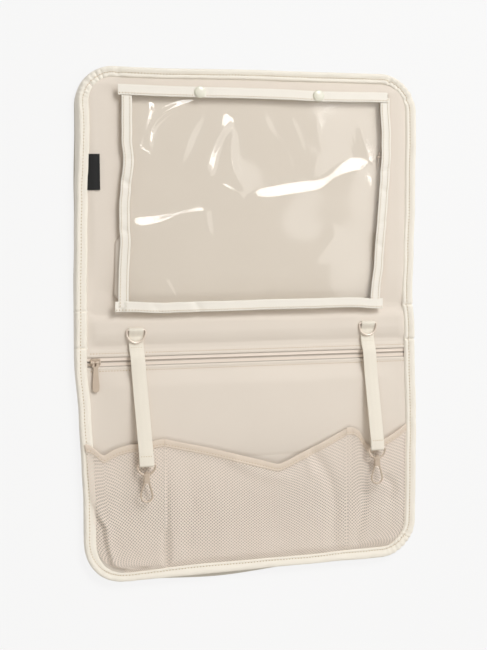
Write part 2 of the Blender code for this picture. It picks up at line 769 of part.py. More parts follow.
def strap(side):
    """One strap: it goes round the ring's bar, over the zip and round the hook's loop."""
    ring_y, hook_y = side["ring_y"], side["hook_y"]
    half = STRAP_THICK / 2
    first = LAID_Z + half
    second = first + STRAP_THICK + GAP
    turn_radius = RING_WIRE + GAP + half
    ring_z = ring_level()
    path = [(STRAP_SEWN_Y, first), (ring_y + 0.5, first)]
    path.append((ring_y + turn_radius - 0.3, first + 0.9))
    path += wrap(ring_y, ring_z - turn_radius, ring_z + turn_radius, 0, 90, 4)
    path += [(ring_y - 3.4, ring_z + turn_radius - 1.5), (ring_y - 7.0, second + 0.6)]
    path += [(ring_y - 9.5, second), (STRAP_SEWN_Y + 3.0, second)]
    path += [(ZIP_UPPER_EDGE, STRAP_ARCH - 0.6), (ZIP_Y, STRAP_ARCH), (-70.0, STRAP_ARCH + 0.4)]
    bar_low, bar_high = HOOK_HEIGHT - turn_radius, HOOK_HEIGHT + turn_radius
    for share in (0.3, 0.6, 0.85):
        y = -70.0 + (hook_y + 12.0 + 70.0) * share
        path.append((y, STRAP_ARCH + 0.4 + (bar_high - STRAP_ARCH - 1.0) * share))
    path.append((hook_y + 10.0, bar_high - 0.1))
    path += wrap(hook_y, bar_low, bar_high, 90, 270, 8)
    path += [(hook_y + 5.0, bar_low + 0.9), (hook_y + 12.0, bar_high - STRAP_THICK - GAP - 0.7)]

    def shift(y):
        share = (ring_y - 12.0 - y) / (ring_y - 12.0 - hook_y - 8.0)
        share = min(max(share, 0.0), 1.0)
        return side["x"] + (side["hook_x"] - side["x"]) * share

    ribbon("strap_" + side["side"], path, shift, WEBBING)


def strap_ring(side):
    """D-shaped ring with its straight bar in the strap."""
    origin = (side["x"], side["ring_y"], ring_level())
    points = [Vector((-RING_BAR_HALF, 0, 0)), Vector((RING_BAR_HALF, 0, 0))]
    drop = RING_DROP - RING_HALF * 0.3
    rounded = arc((0, -RING_DROP + drop), RING_HALF, drop, 12, -192, 14)
    bm = bmesh.new()
    bridge(bm, wire_rings(points + rounded, RING_WIRE, True), closed_path=True)
    finish("strap_ring_" + side["side"], bm, COATED, origin, 50.0)


def hook(side):
    """Swivel snap hook: loop, hook body with its post, gate and gate pin."""
    name = side["side"]
    origin = (side["hook_x"], side["hook_y"], HOOK_HEIGHT)
    boss_mid = -LOOP_RADIUS - 1.0
    boss_low, boss_high = boss_mid - BOSS_LENGTH / 2, boss_mid + BOSS_LENGTH / 2

    bar_half = LOOP_RADIUS - 1.2
    points = [Vector((-bar_half, 0, 0)), Vector((bar_half, 0, 0))]
    points += arc((0, -1.0), LOOP_RADIUS, LOOP_RADIUS, -2, -178, 14)
    bm = bmesh.new()
    bridge(bm, wire_rings(points, HOOK_WIRE, True), closed_path=True)
    loop = finish("hook_loop_" + name, bm, COATED, origin, 50.0)

    def boss(bm):
        cylinder(bm, BOSS_THICK / 2, boss_low, boss_high, "y", (0, 0, 0), 16)
        for vert in bm.verts:
            vert.co.x *= BOSS_WIDTH / BOSS_THICK
            vert.co += Vector(origin)

    def boss_bore(bm):
        centre = (origin[0], 0, origin[2])
        low, high = origin[1] + boss_low - 3, origin[1] + boss_high + 3
        cylinder(bm, POST_RADIUS + RUNNING, low, high, "y", centre, 14)

    combine(loop, [solid("boss", boss)], "UNION")
    combine(loop, [solid("boss_bore", boss_bore)], "DIFFERENCE")
    hook_body(name, origin, boss_low, boss_high)


def hook_body(name, origin, boss_low, boss_high):
    """Hook with its swivel post, and the gate on the collar's left side."""
    collar_high = boss_low - GAP
    collar_low = collar_high - COLLAR_LENGTH
    eye_y = -HOOK_EYE_DROP
    nose = Vector((-HOOK_EYE_RADIUS + 0.2, -HOOK_NOSE_DROP, 0))
    start = Vector((COLLAR_BOTTOM / 2 - HOOK_WIRE, collar_low + 0.8, 0))
    points = [start, start.lerp(Vector((HOOK_EYE_RADIUS, eye_y + 2.0, 0)), 0.5)]
    points += arc((0, eye_y), HOOK_EYE_RADIUS, HOOK_EYE_RADIUS, 12, -180, 14)
    points.append(nose)
    bm = bmesh.new()
    bridge(bm, wire_rings(points, HOOK_WIRE, False))
    made = finish("hook_body_" + name, bm, COATED, origin, 50.0)

    def collar(bm):
        rings = []
        for y, width in ((collar_low, COLLAR_BOTTOM), (collar_high, COLLAR_TOP)):
            x, z = width / 2, COLLAR_THICK / 2
            soft = 0.8
            ring = [(x - soft, -z), (x, soft - z), (x, z - soft), (x - soft, z)]
            ring += [(soft - x, z), (-x, z - soft), (-x, soft - z), (soft - x, -z)]
            rings.append([Vector((a, y, b)) + Vector(origin) for a, b in ring])
        bridge(bm, rings)

    def post(bm):
        centre = (origin[0], 0, origin[2])
        low, high = origin[1] + collar_high - 1.0, origin[1] + boss_high + GAP + 0.6
        cylinder(bm, POST_RADIUS, low, high, "y", centre, 14)

    def head(bm):
        centre = (origin[0], 0, origin[2])
        low = origin[1] + boss_high + GAP
        cylinder(bm, POST_HEAD, low, low + POST_HEAD_THICK, "y", centre, 16)

    combine(made, [solid("collar", collar), solid("post", post), solid("head", head)], "UNION")
    pivot = Vector((-COLLAR_BOTTOM / 2 + GATE_EYE + 0.3, collar_low + GATE_EYE + 0.3, 0))

    def slot(bm):
        bmesh.ops.create_cube(bm, size=1.0)
        for vert in bm.verts:
            x = pivot.x + (GATE_EYE + RUNNING if vert.co.x > 0 else -GATE_EYE - 3.0)
            y = pivot.y + (GATE_EYE + RUNNING if vert.co.y > 0 else -GATE_EYE - 4.0)
            z = COLLAR_SLOT / 2 + GAP if vert.co.z > 0 else -COLLAR_SLOT / 2 - GAP
            vert.co = Vector((x, y, z)) + Vector(origin)

    def pin_bore(bm):
        centre = (origin[0] + pivot.x, origin[1] + pivot.y, origin[2])
        cylinder(bm, GATE_PIN + GAP, -COLLAR_THICK, COLLAR_THICK, "z", centre, 12)

    combine(made, [solid("slot", slot), solid("pin_bore", pin_bore)], "DIFFERENCE")
    pin_z = COLLAR_THICK / 2
    centre = Vector(origin) + pivot
    pin = solid("hook_pin_" + name, lambda bm: cylinder(bm, GATE_PIN, -pin_z, pin_z, "z", centre, 12))
    set_origin(pin, centre)

    tip = Vector((nose.x, nose.y, 0)) - Vector((pivot.x, pivot.y, 0))
    reach = tip.normalized() * (tip.length - HOOK_WIRE * 0.4)
    gate_wire = COLLAR_SLOT / 2
    bm = bmesh.new()
    path = [reach.normalized() * 0.9, reach * 0.5, reach]
    bridge(bm, wire_rings(path, gate_wire, False))
    gate = finish("hook_gate_" + name, bm, COATED, centre, 50.0)

    def eye(bm):
        cylinder(bm, GATE_EYE, -COLLAR_SLOT / 2, COLLAR_SLOT / 2, "z", centre, 14)

    def eye_bore(bm):
        cylinder(bm, GATE_PIN + GAP, -COLLAR_SLOT, COLLAR_SLOT, "z", centre, 12)

    combine(gate, [solid("eye", eye)], "UNION")
    combine(gate, [solid("eye_bore", eye_bore)], "DIFFERENCE")


def net_edge(y):
    """Half width inside the binding at y."""
    straight = MAT_LENGTH / 2 - MAT_CORNER
    past = max(-y - straight, 0.0)
    across = math.sqrt(max(INNER_CORNER**2 - past * past, 0.0))
    return INNER_HALF - INNER_CORNER + across - NET_SEAM


def net_height(distance, share, pleats):
    """Height of a net's underside at a distance from its nearest seam."""
    ramp = min(distance / NET_RAMP, 1.0)
    rise = math.sin(ramp * math.pi / 2)
    fold = NET_PLEAT * (0.5 - 0.5 * math.cos(math.tau * pleats * share))
    return LAID_Z + (NET_RISE - fold) * rise


def net_pocket(name, sides_at, top_at, columns, rows, pleats):
    """A net pocket and the bound tape along its mouth."""
    bottom = NET_SEAM - INNER_LENGTH
    grid = []
    for r in range(rows + 1):
        row = []
        for c in range(columns + 1):
            u, v = c / columns, r / rows
            limit = top_at(u) - NET_TAPE_WIDTH - GAP
            y = bottom + (limit - bottom) * v
            x_low, x_high = sides_at(y)
            x = x_low + (x_high - x_low) * u
            distance = min(x - x_low, x_high - x, y - bottom)
            row.append(Vector((x, y, net_height(distance, u, pleats))))
        grid.append(row)
    holes = {(r, c) for r in range(1, rows - 1) for c in range(1, columns - 1)}
    grid_solid("net_" + name, grid, NET_THICK, NET, holes)
    grid = []
    for share in (0.0, 0.15, 0.85, 1.0):
        row = []
        for c in range(columns + 1):
            u = c / columns
            y = top_at(u) - NET_TAPE_WIDTH * (1.0 - share)
            x_low, x_high = sides_at(y)
            x = x_low + (x_high - x_low) * u
            distance = min(x - x_low, x_high - x)
            lift = 0.0 if share in (0.0, 1.0) else 0.3
            z = net_height(distance, u, pleats) - NET_TAPE_THICK / 2 + NET_THICK
            row.append(Vector((x, y, max(z, LAID_Z) + lift)))
        grid.append(row)
    grid_solid("net_tape_" + name, grid, NET_TAPE_THICK, CREAM)


def net_pockets():
    """Left, centre and right pocket, each with its mouth's own sag."""

    def sag(low, high, depth, at):
        def top(u):
            bend = u ** (math.log(0.5) / math.log(at))
            return low + (high - low) * u - depth * math.sin(math.pi * bend) ** 1.5

        return top

    def left(y):
        return -net_edge(y), SEAM_LEFT - GAP / 2

    def centre(y):
        return SEAM_LEFT + GAP / 2, SEAM_RIGHT - GAP / 2

    def right(y):
        return SEAM_RIGHT + GAP / 2, net_edge(y)

    net_pocket("left", left, sag(LEFT_TOP, SEAM_TOP, LEFT_SAG, 0.25), 8, 10, 2)
    net_pocket("centre", centre, sag(SEAM_TOP, SEAM_TOP, CENTRE_SAG, 0.6), 12, 11, 3)
    net_pocket("right", right, sag(SEAM_TOP, LEFT_TOP, RIGHT_SAG, 0.35), 8, 10, 2)


def main():
    for old in list(bpy.data.objects):
        bpy.data.objects.remove(old)
    body()
    zip_parts()
    window_pocket()
    for side in STRAPS:
        strap(side)
        strap_ring(side)
        hook(side)
    net_pockets()


main()
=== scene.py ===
"""Car seat protector: finishes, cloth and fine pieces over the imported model.

Places and sizes are in millimetres and become metres when a piece is made. X is the mat's
width, Y its length towards the window pocket, and Z points out of the front.
"""

import math

import bmesh
import bpy
from mathutils import Matrix, Vector, noise


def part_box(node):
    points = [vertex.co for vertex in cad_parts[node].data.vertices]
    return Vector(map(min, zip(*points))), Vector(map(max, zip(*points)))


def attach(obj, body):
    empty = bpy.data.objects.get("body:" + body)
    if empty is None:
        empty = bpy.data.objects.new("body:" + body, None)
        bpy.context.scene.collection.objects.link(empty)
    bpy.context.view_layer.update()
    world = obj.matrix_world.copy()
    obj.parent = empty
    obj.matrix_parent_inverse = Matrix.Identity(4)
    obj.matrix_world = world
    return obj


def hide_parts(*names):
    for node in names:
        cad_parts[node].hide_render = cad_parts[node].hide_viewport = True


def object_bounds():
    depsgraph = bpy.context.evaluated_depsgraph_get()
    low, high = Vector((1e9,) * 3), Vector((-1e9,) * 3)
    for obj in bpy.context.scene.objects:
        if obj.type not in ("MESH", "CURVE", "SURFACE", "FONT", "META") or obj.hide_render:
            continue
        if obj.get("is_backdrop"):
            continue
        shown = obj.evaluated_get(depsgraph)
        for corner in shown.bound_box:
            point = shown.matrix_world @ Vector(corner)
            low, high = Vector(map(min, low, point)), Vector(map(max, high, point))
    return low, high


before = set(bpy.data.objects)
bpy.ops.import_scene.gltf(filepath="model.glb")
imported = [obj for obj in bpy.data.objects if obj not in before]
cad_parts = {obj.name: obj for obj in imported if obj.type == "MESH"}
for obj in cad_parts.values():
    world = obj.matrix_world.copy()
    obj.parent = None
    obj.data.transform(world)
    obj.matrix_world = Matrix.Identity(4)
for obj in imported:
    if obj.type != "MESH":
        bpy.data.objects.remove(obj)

MM = 0.001
CAD_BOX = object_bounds()


def low(node):
    """A node's lowest corner in millimetres."""
    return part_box(node)[0] / MM


def high(node):
    """A node's highest corner in millimetres."""
    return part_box(node)[1] / MM


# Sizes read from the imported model
HALF_WIDTH = high("edge_binding").x
HALF_LENGTH = high("edge_binding").y
CORNER = 50.0  # corner radius of the binding
CROWN_Z = high("edge_binding").z
BINDING_LOW = low("edge_binding").z
BACK_TOP = high("back_cover").z
FRONT_Z = high("front_panel_upper").z
LIP_Z = FRONT_Z + 0.3
FILM_Z = low("window_film").z
WINDOW_LOW = low("window_tape_bottom").y
WINDOW_HIGH = high("window_tape_top").y
WINDOW_MIDDLE = (WINDOW_LOW + WINDOW_HIGH) / 2
ZIP_UPPER_EDGE = low("front_panel_upper").y
ZIP_LOWER_EDGE = high("front_panel_lower").y
ZIP_Y = (ZIP_UPPER_EDGE + ZIP_LOWER_EDGE) / 2
TAPE_Z = high("zip_tape_upper").z

# Places of the folds, seams and straps
BINDING_WIDTH = 14.0
PANEL_TUCK = 3.8  # from the mat's edge in to the front cloth's, under the rim
CREASES = (19.5, -26.5)  # the two fold lines across the mat
ZIP_TAPE_WIDTH = 13.0
WINDOW_WIDTH = 352.0
WINDOW_X = 4.0
WINDOW_LEAN = 0.032
WINDOW_TAPE = 13.0
SEAM_ALLOWANCE = 4.0  # of the gusset, turned in on the front
SEAM_LEFT = -118.4
SEAM_RIGHT = 125.6
NET_BOTTOM = BINDING_WIDTH + 0.8 - HALF_LENGTH
NET_TOP = -141.0
NET_TAPE_WIDTH = 10.0
STRAP_WIDTH = 18.4
STRAP_THICK = 1.2
BAR_RADIUS = 1.25  # of the bars that the straps go round

# Photographer's camera
CAMERA_PLACE = (-416.5, 90.0, 1425.4)
CAMERA_LOOK = (0.27400, -0.06274, -0.95968)
CAMERA_UP = (0.02475, 0.99800, -0.05818)
CAMERA_LENS = 63.7


def clamp(value, least=0.0, most=1.0):
    return min(max(value, least), most)


def ease(value):
    """Smooth step from 0 to 1."""
    value = clamp(value)
    return value * value * (3.0 - 2.0 * value)


def hump(value, middle, reach):
    """A rounded hill of height 1, reach wide on each side."""
    return math.exp(-(((value - middle) / reach) ** 2))


def waves(x, y, size, seed):
    """Soft noise between about -1 and 1."""
    return noise.noise(Vector((x / size, y / size, seed)))


def curve_at(points, x):
    """A smooth line through (x, value) points."""
    if x <= points[0][0]:
        return points[0][1]
    for (x0, y0), (x1, y1) in zip(points, points[1:]):
        if x <= x1:
            return y0 + (y1 - y0) * ease((x - x0) / (x1 - x0))
    return points[-1][1]


def line_at(points, x):
    """A straight-sided line through (x, value) points."""
    if x <= points[0][0]:
        return points[0][1]
    for (x0, y0), (x1, y1) in zip(points, points[1:]):
        if x <= x1:
            return y0 + (y1 - y0) * (x - x0) / (x1 - x0)
    return points[-1][1]


def softened(points):
    """A path with its corners rounded off; its ends stay."""
    for _ in range(2):
        made = [points[0]]
        for (x0, y0), (x1, y1) in zip(points, points[1:]):
            made.append((0.75 * x0 + 0.25 * x1, 0.75 * y0 + 0.25 * y1))
            made.append((0.25 * x0 + 0.75 * x1, 0.25 * y0 + 0.75 * y1))
        made.append(points[-1])
        points = made
    return points


def fold_of(points, reach):
    """A fold's rounded path, and the box outside which it does nothing."""
    path = softened(points)
    across = [x for x, y in path]
    along = [y for x, y in path]
    return path, (min(across) - reach, max(across) + reach, min(along) - reach, max(along) + reach)


def folds_at(folds, x, y):
    """Folds near a place: signed distance, share along the fold, then the fold's values."""
    for (path, (x_low, x_high, y_low, y_high)), *values in folds:
        if x_low < x < x_high and y_low < y < y_high:
            yield (*nearest_on(path, x, y), *values)


def nearest_on(points, x, y):
    """Signed distance to a line through points, and how far along it from 0 to 1.
    The distance is positive on the line's left side."""
    best = None
    count = len(points) - 1
    for i in range(count):
        ax, ay = points[i]
        bx, by = points[i + 1]
        dx, dy = bx - ax, by - ay
        share = clamp(((x - ax) * dx + (y - ay) * dy) / (dx * dx + dy * dy))
        ox, oy = x - ax - dx * share, y - ay - dy * share
        distance = math.hypot(ox, oy)
        if best is None or distance < best[0]:
            side = 1.0 if dx * oy - dy * ox > 0 else -1.0
            best = (distance, side, (i + share) / count)
    return best[0] * best[1], best[2]


# Materials


def srgb(red, green, blue):
    """Linear colour from display values up to 255."""
    made = []
    for value in (red / 255.0, green / 255.0, blue / 255.0):
        made.append(value / 12.92 if value <= 0.04045 else ((value + 0.055) / 1.055) ** 2.4)
    return (*made, 1.0)


def new_group(name, inputs, outputs):
    """An empty node group with named sockets."""
    group = bpy.data.node_groups.new(name, "ShaderNodeTree")
    for label, kind, value in inputs:
        socket = group.interface.new_socket(name=label, in_out="INPUT", socket_type=kind)
        if value is not None:
            socket.default_value = value
    for label, kind in outputs:
        group.interface.new_socket(name=label, in_out="OUTPUT", socket_type=kind)
    group.nodes.new("NodeGroupInput")
    group.nodes.new("NodeGroupOutput")
    return group


def ends(group):
    """A group's input node and output node."""
    return group.nodes["Group Input"], group.nodes["Group Output"]


def maths(tree, operation, first, second=None, third=None):
    """One Math node; each value is a number or a socket."""
    made = tree.nodes.new("ShaderNodeMath")
    made.operation = operation
    for socket, value in zip(made.inputs, (first, second, third)):
        if value is None:
            continue
        if isinstance(value, (int, float)):
            socket.default_value = value
        else:
            tree.links.new(value, socket)
    return made.outputs[0]


def wave_of(tree, value, per_metre):
    """Sine of a coordinate with so many waves to the metre."""
    turns = maths(tree, "MULTIPLY", value, per_metre)
    return maths(tree, "SINE", maths(tree, "MULTIPLY", turns, math.tau))


VECTOR = "NodeSocketVector"
FLOAT = "NodeSocketFloat"


def weave_group(name, relief):
    """Relief of a cloth: relief(group, x, y, count) gives a height from 0 to 1, with so many
    threads or ribs to the metre."""
    sockets = [("Vector", VECTOR, None), ("Count", FLOAT, 1000.0)]
    group = new_group(name, sockets, [("Height", FLOAT)])
    start, end = ends(group)
    parts = group.nodes.new("ShaderNodeSeparateXYZ")
    group.links.new(start.outputs["Vector"], parts.inputs[0])
    height = relief(group, parts.outputs["X"], parts.outputs["Y"], start.outputs["Count"])
    group.links.new(height, end.inputs["Height"])
    return group


def plain_weave(group, x, y, threads):
    """Threads over and under each other."""
    across, along = wave_of(group, x, threads), wave_of(group, y, threads)
    return maths(group, "MULTIPLY_ADD", maths(group, "MULTIPLY", across, along), 0.5, 0.5)


def twill_weave(group, x, y, ribs):
    """Diagonal ribs broken by the crossing threads."""
    rib = wave_of(group, maths(group, "ADD", x, y), ribs)
    thread = wave_of(group, x, maths(group, "MULTIPLY", ribs, 3.0))
    both = maths(group, "MULTIPLY_ADD", thread, 0.25, rib)
    return maths(group, "MULTIPLY_ADD", both, 0.4, 0.5)


def cross_ribs(group, x, y, ribs):
    """The close ribs that run across webbing, with a fine thread along it."""
    rib = wave_of(group, y, ribs)
    warp = wave_of(group, x, maths(group, "MULTIPLY", ribs, 0.9))
    both = maths(group, "MULTIPLY_ADD", warp, 0.35, rib)
    return maths(group, "MULTIPLY_ADD", both, 0.37, 0.5)


def cloud():
    """Soft uneven tone, from 0 to 1, for wear, dust and dye."""
    group = new_group(
        "cloud", [("Vector", VECTOR, None), ("Size", FLOAT, 20.0)], [("Tone", FLOAT)]
    )
    start, end = ends(group)
    soft = group.nodes.new("ShaderNodeTexNoise")
    soft.inputs["Detail"].default_value = 3.0
    group.links.new(start.outputs["Vector"], soft.inputs["Vector"])
    group.links.new(start.outputs["Size"], soft.inputs["Scale"])
    group.links.new(soft.outputs["Fac"], end.inputs["Tone"])
    return group


def seam_shade():
    """0 on a line along the cloth at Place, and 1 away from it: used for painted shade along that
    line.
    """
    sockets = [("Vector", VECTOR, None), ("Place", FLOAT, 0.0), ("Reach", FLOAT, 0.001)]
    group = new_group("seam_shade", sockets, [("Tone", FLOAT)])
    start, end = ends(group)
    parts = group.nodes.new("ShaderNodeSeparateXYZ")
    group.links.new(start.outputs["Vector"], parts.inputs[0])
    off = maths(group, "SUBTRACT", parts.outputs["Y"], start.outputs["Place"])
    share = maths(group, "DIVIDE", off, start.outputs["Reach"])
    square = maths(group, "MULTIPLY", share, share)
    fall = maths(group, "EXPONENT", maths(group, "MULTIPLY", square, -1.0))
    group.links.new(maths(group, "SUBTRACT", 1.0, fall), end.inputs["Tone"])
    return group


def coordinates(tree, source):
    made = tree.nodes.new("ShaderNodeTexCoord")
    return made.outputs[source]


def place_group(tree, group, vector, **values):
    """A group in a material, with its own values."""
    made = tree.nodes.new("ShaderNodeGroup")
    made.node_tree = group
    tree.links.new(vector, made.inputs["Vector"])
    for label, value in values.items():
        made.inputs[label].default_value = value
    return made.outputs[0]


def tinted(tree, colour, shade, least, seams=()):
    """The colour times a shade between least and 1, darker with painted shade along the given
    lines.
    """
    amount = maths(tree, "MULTIPLY_ADD", shade, 1.0 - least, least)
    # painted shade: each line darkens the colour along it
    for line, depth in seams:
        kept = maths(tree, "MULTIPLY_ADD", line, depth, 1.0 - depth)
        amount = maths(tree, "MULTIPLY", amount, kept)
    mixed = tree.nodes.new("ShaderNodeVectorMath")
    mixed.operation = "SCALE"
    mixed.inputs[0].default_value = colour[:3]
    tree.links.new(amount, mixed.inputs["Scale"])
    return mixed.outputs[0]


def bump_into(tree, shader, height, depth):
    """Relief of so many metres on a shader."""
    made = tree.nodes.new("ShaderNodeBump")
    made.inputs["Distance"].default_value = depth
    made.inputs["Strength"].default_value = 1.0
    tree.links.new(height, made.inputs["Height"])
    tree.links.new(made.outputs[0], shader.inputs["Normal"])


def mix_shaders(tree, first, second):
    """Two shaders mixed as the material's surface; gives the socket for the second's share."""
    mixed = tree.nodes.new("ShaderNodeMixShader")
    tree.links.new(first.outputs[0], mixed.inputs[1])
    tree.links.new(second.outputs[0], mixed.inputs[2])
    tree.links.new(mixed.outputs[0], tree.nodes["Material Output"].inputs["Surface"])
    return mixed.inputs[0]


def blank_material(name, roughness, **constants):
    """A material and its shader, with constants set on the shader's own sockets."""
    made = bpy.data.materials.new(name)
    made.use_nodes = True
    shader = made.node_tree.nodes["Principled BSDF"]
    shader.inputs["Roughness"].default_value = roughness
    for label, value in constants.items():
        shader.inputs[label.replace("_", " ")].default_value = value
    return made, made.node_tree, shader


def cloth_material(
    name, colour, weave, count, depth, roughness, tone, source="UV", seams=(), **more
):
    """Woven cloth: relief with count threads to the metre, thread shade and an uneven tone,
    with painted shade along lines: (place across the cloth in metres, reach, darkness)."""
    made, tree, shader = blank_material(name, roughness, **more)
    place = coordinates(tree, source)
    height = place_group(tree, GROUPS[weave], place, Count=count)
    patches = place_group(tree, GROUPS["cloud"], place, Size=14.0)
    grain = place_group(tree, GROUPS["cloud"], place, Size=900.0)
    both = maths(tree, "MULTIPLY_ADD", height, 0.5, maths(tree, "MULTIPLY", grain, 0.5))
    threads = maths(tree, "MULTIPLY", both, 0.6)
    shade = maths(tree, "ADD", threads, maths(tree, "MULTIPLY", patches, 0.4))
    lines = []
    # painted shade along each listed line across the cloth
    for where, reach, darkness in seams:
        line = place_group(tree, GROUPS["seam"], place, Place=where, Reach=reach)
        lines.append((line, darkness))
    tree.links.new(tinted(tree, colour, shade, tone, lines), shader.inputs["Base Color"])
    bump_into(tree, shader, both, depth)
    return made


def hard_material(name, colour, roughness, metallic, wear=0.9):
    """Coated metal or plastic, with a faintly uneven coat."""
    made, tree, shader = blank_material(name, roughness, Metallic=metallic, Coat_Weight=0.35)
    shader.inputs["Coat Roughness"].default_value = 0.15
    place = coordinates(tree, "Object")
    patches = place_group(tree, GROUPS["cloud"], place, Size=180.0)
    grain = place_group(tree, GROUPS["cloud"], place, Size=2600.0)
    tree.links.new(tinted(tree, colour, patches, wear), shader.inputs["Base Color"])
    rough = maths(tree, "MULTIPLY_ADD", grain, 0.15, roughness - 0.07)
    tree.links.new(rough, shader.inputs["Roughness"])
    bump_into(tree, shader, grain, 0.00002)
    return made


def film_material():
    """Clear flexible film: it mirrors the lamps and lets light through to the cloth behind."""
    made, tree, shader = blank_material("clear_film", 0.045, IOR=1.5, Transmission_Weight=1.0)
    shader.inputs["Base Color"].default_value = (0.985, 0.98, 0.965, 1.0)
    place = coordinates(tree, "Object")
    haze = place_group(tree, GROUPS["cloud"], place, Size=35.0)
    rough = maths(tree, "MULTIPLY_ADD", haze, 0.05, 0.055)
    tree.links.new(rough, shader.inputs["Roughness"])
    clear = tree.nodes.new("ShaderNodeBsdfTransparent")
    clear.inputs["Color"].default_value = (0.97, 0.97, 0.965, 1.0)
    path = tree.nodes.new("ShaderNodeLightPath")
    through = maths(
        tree, "MAXIMUM", path.outputs["Is Shadow Ray"], path.outputs["Is Diffuse Ray"]
    )
    tree.links.new(through, mix_shaders(tree, shader, clear))
    return made


GROUPS = {
    "plain": weave_group("plain_weave", plain_weave),
    "twill": weave_group("twill_weave", twill_weave),
    "ribs": weave_group("cross_ribs", cross_ribs),
    "cloud": cloud(),
    "seam": seam_shade(),
}

CREAM = srgb(243, 238, 228)
RIM_CREAM = srgb(249, 243, 231)
PEACH = srgb(229, 219, 207)
ZIP_PEACH = srgb(240, 227, 214)
STRAP_CREAM = srgb(242, 235, 221)
NET_PEACH = srgb(252, 240, 228)
NET_TAPE_PEACH = srgb(226, 211, 195)
# Tan thread, made darker still as painted shade of the dimples between stitches
THREAD_AND_DIMPLE_SHADE = srgb(210, 188, 154)
COATED = srgb(234, 220, 206)
PULL_TONE = srgb(208, 190, 171)
COIL_TONE = srgb(216, 200, 184)
CAP_CREAM = srgb(232, 230, 214)
BLACK = srgb(24, 24, 25)

# Cloth of the rim: points across it, the one in the sewn groove, and its cut width
RIM_POINTS = 25
GROOVE_POINT = 7
RIM_CLOTH = 36.0
RIM_STEP = RIM_CLOTH / RIM_POINTS * MM

# Painted shade along the rim's sewn groove
BINDING_CLOTH = cloth_material(
    "binding_cloth", RIM_CREAM, "twill", 620.0, 0.0003, 0.85, 0.92,
    seams=((GROOVE_POINT * RIM_STEP, RIM_STEP, 0.08),), Sheen_Weight=0.15,
)
BACK_CLOTH = cloth_material(
    "back_cloth", srgb(214, 208, 196), "plain", 1100.0, 0.0002, 0.8, 0.86
)
PANEL_CLOTH = cloth_material(
    "panel_cloth", PEACH, "plain", 1900.0, 0.00006, 0.72, 0.94, Sheen_Weight=0.1
)
# The same cloth, painted darker under the nets: a stand-in for the shade in the pockets
POCKET_CLOTH = cloth_material(
    "pocket_cloth", PEACH, "plain", 1900.0, 0.00006, 0.72, 0.94,
    seams=((0.07, 0.064, 0.34),), Sheen_Weight=0.1,
)
WINDOW_TAPE_CLOTH = cloth_material(
    "window_tape_cloth", CREAM, "ribs", 1300.0, 0.0001, 0.6, 0.92, Sheen_Weight=0.15
)
# Painted shade along the slit between the tapes, and painted shadow where the front cloth's edge
# overhangs each tape
ZIP_TAPE_CLOTH = cloth_material(
    "zip_tape_cloth", ZIP_PEACH, "twill", 900.0, 0.0001, 0.6, 0.92,
    seams=((0.0001, 0.0008, 0.55), (0.0056, 0.0009, 0.5)),
)
WEBBING_CLOTH = cloth_material(
    "webbing_cloth", STRAP_CREAM, "ribs", 850.0, 0.0002, 0.7, 0.88, Sheen_Weight=0.1
)
NET_THREAD = cloth_material("net_thread", NET_PEACH, "plain", 4000.0, 0.0001, 0.65, 0.88)
NET_TAPE_CLOTH = cloth_material(
    "net_tape_cloth", NET_TAPE_PEACH, "ribs", 1300.0, 0.0001, 0.6, 0.92
)
LABEL_CLOTH = cloth_material(
    "label_cloth", BLACK, "ribs", 1500.0, 0.00012, 0.7, 0.7, source="Object"
)
STITCH_THREAD = cloth_material(
    "stitch_thread", THREAD_AND_DIMPLE_SHADE, "plain", 3000.0, 0.00005, 0.6, 0.85, source="Object"
)
BOARD_SKIN = cloth_material(
    "board_skin", srgb(190, 180, 165), "plain", 500.0, 0.0001, 0.9, 0.85, source="Object"
)
COATED_METAL = hard_material("coated_metal", COATED, 0.38, 0.1)
PULL_METAL = hard_material("pull_metal", PULL_TONE, 0.4, 0.1)
COIL_PLASTIC = hard_material("coil_plastic", COIL_TONE, 0.5, 0.0)
CAP_PLASTIC = hard_material("cap_plastic", CAP_CREAM, 0.28, 0.0, wear=0.96)
CLEAR_FILM = film_material()


# Making pieces


def new_object(name, data):
    """An object linked into the scene."""
    made = bpy.data.objects.new(name, data)
    bpy.context.scene.collection.objects.link(made)
    return made


def piece(name, bm, skin, stands_for=(), smooth_angle=60.0):
    """Turn a bmesh in millimetres into a piece that rides on the mat."""
    bmesh.ops.scale(bm, vec=(MM, MM, MM), verts=bm.verts)
    mesh = bpy.data.meshes.new(name)
    bm.to_mesh(mesh)
    bm.free()
    mesh.shade_smooth()
    mesh.set_sharp_from_angle(angle=math.radians(smooth_angle))
    mesh.materials.append(skin)
    made = new_object(name, mesh)
    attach(made, "mat")
    if stands_for:
        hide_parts(*stands_for)
    return made


def laid_grid(columns, rows, place, width, length):
    """A grid of cloth: place(u, v) gives each point, and its UV map is in metres of cloth."""
    bm = bmesh.new()
    layer = bm.loops.layers.uv.new("cloth")
    bmesh.ops.create_grid(bm, x_segments=columns, y_segments=rows, size=0.5)
    shares = {}
    for vert in bm.verts:
        shares[vert.index] = (vert.co.x + 0.5, vert.co.y + 0.5)
    for face in bm.faces:
        for loop in face.loops:
            u, v = shares[loop.vert.index]
            loop[layer].uv = (u * width * MM, v * length * MM)
    for vert in bm.verts:
        vert.co = place(*shares[vert.index])
    return bm


def thicken(bm, thick):
    """Give a sheet its thickness, below its own surface."""
    bmesh.ops.recalc_face_normals(bm, faces=bm.faces)
    if sum(face.normal.z * face.calc_area() for face in bm.faces) < 0:
        bmesh.ops.reverse_faces(bm, faces=bm.faces)
    bmesh.ops.solidify(bm, geom=bm.faces[:], thickness=thick)
    bmesh.ops.recalc_face_normals(bm, faces=bm.faces)


def close_up(bm):
    """Join the meeting edges of a grid that was bent into a tube."""
    bmesh.ops.remove_doubles(bm, verts=bm.verts, dist=0.001)
    bmesh.ops.recalc_face_normals(bm, faces=bm.faces)


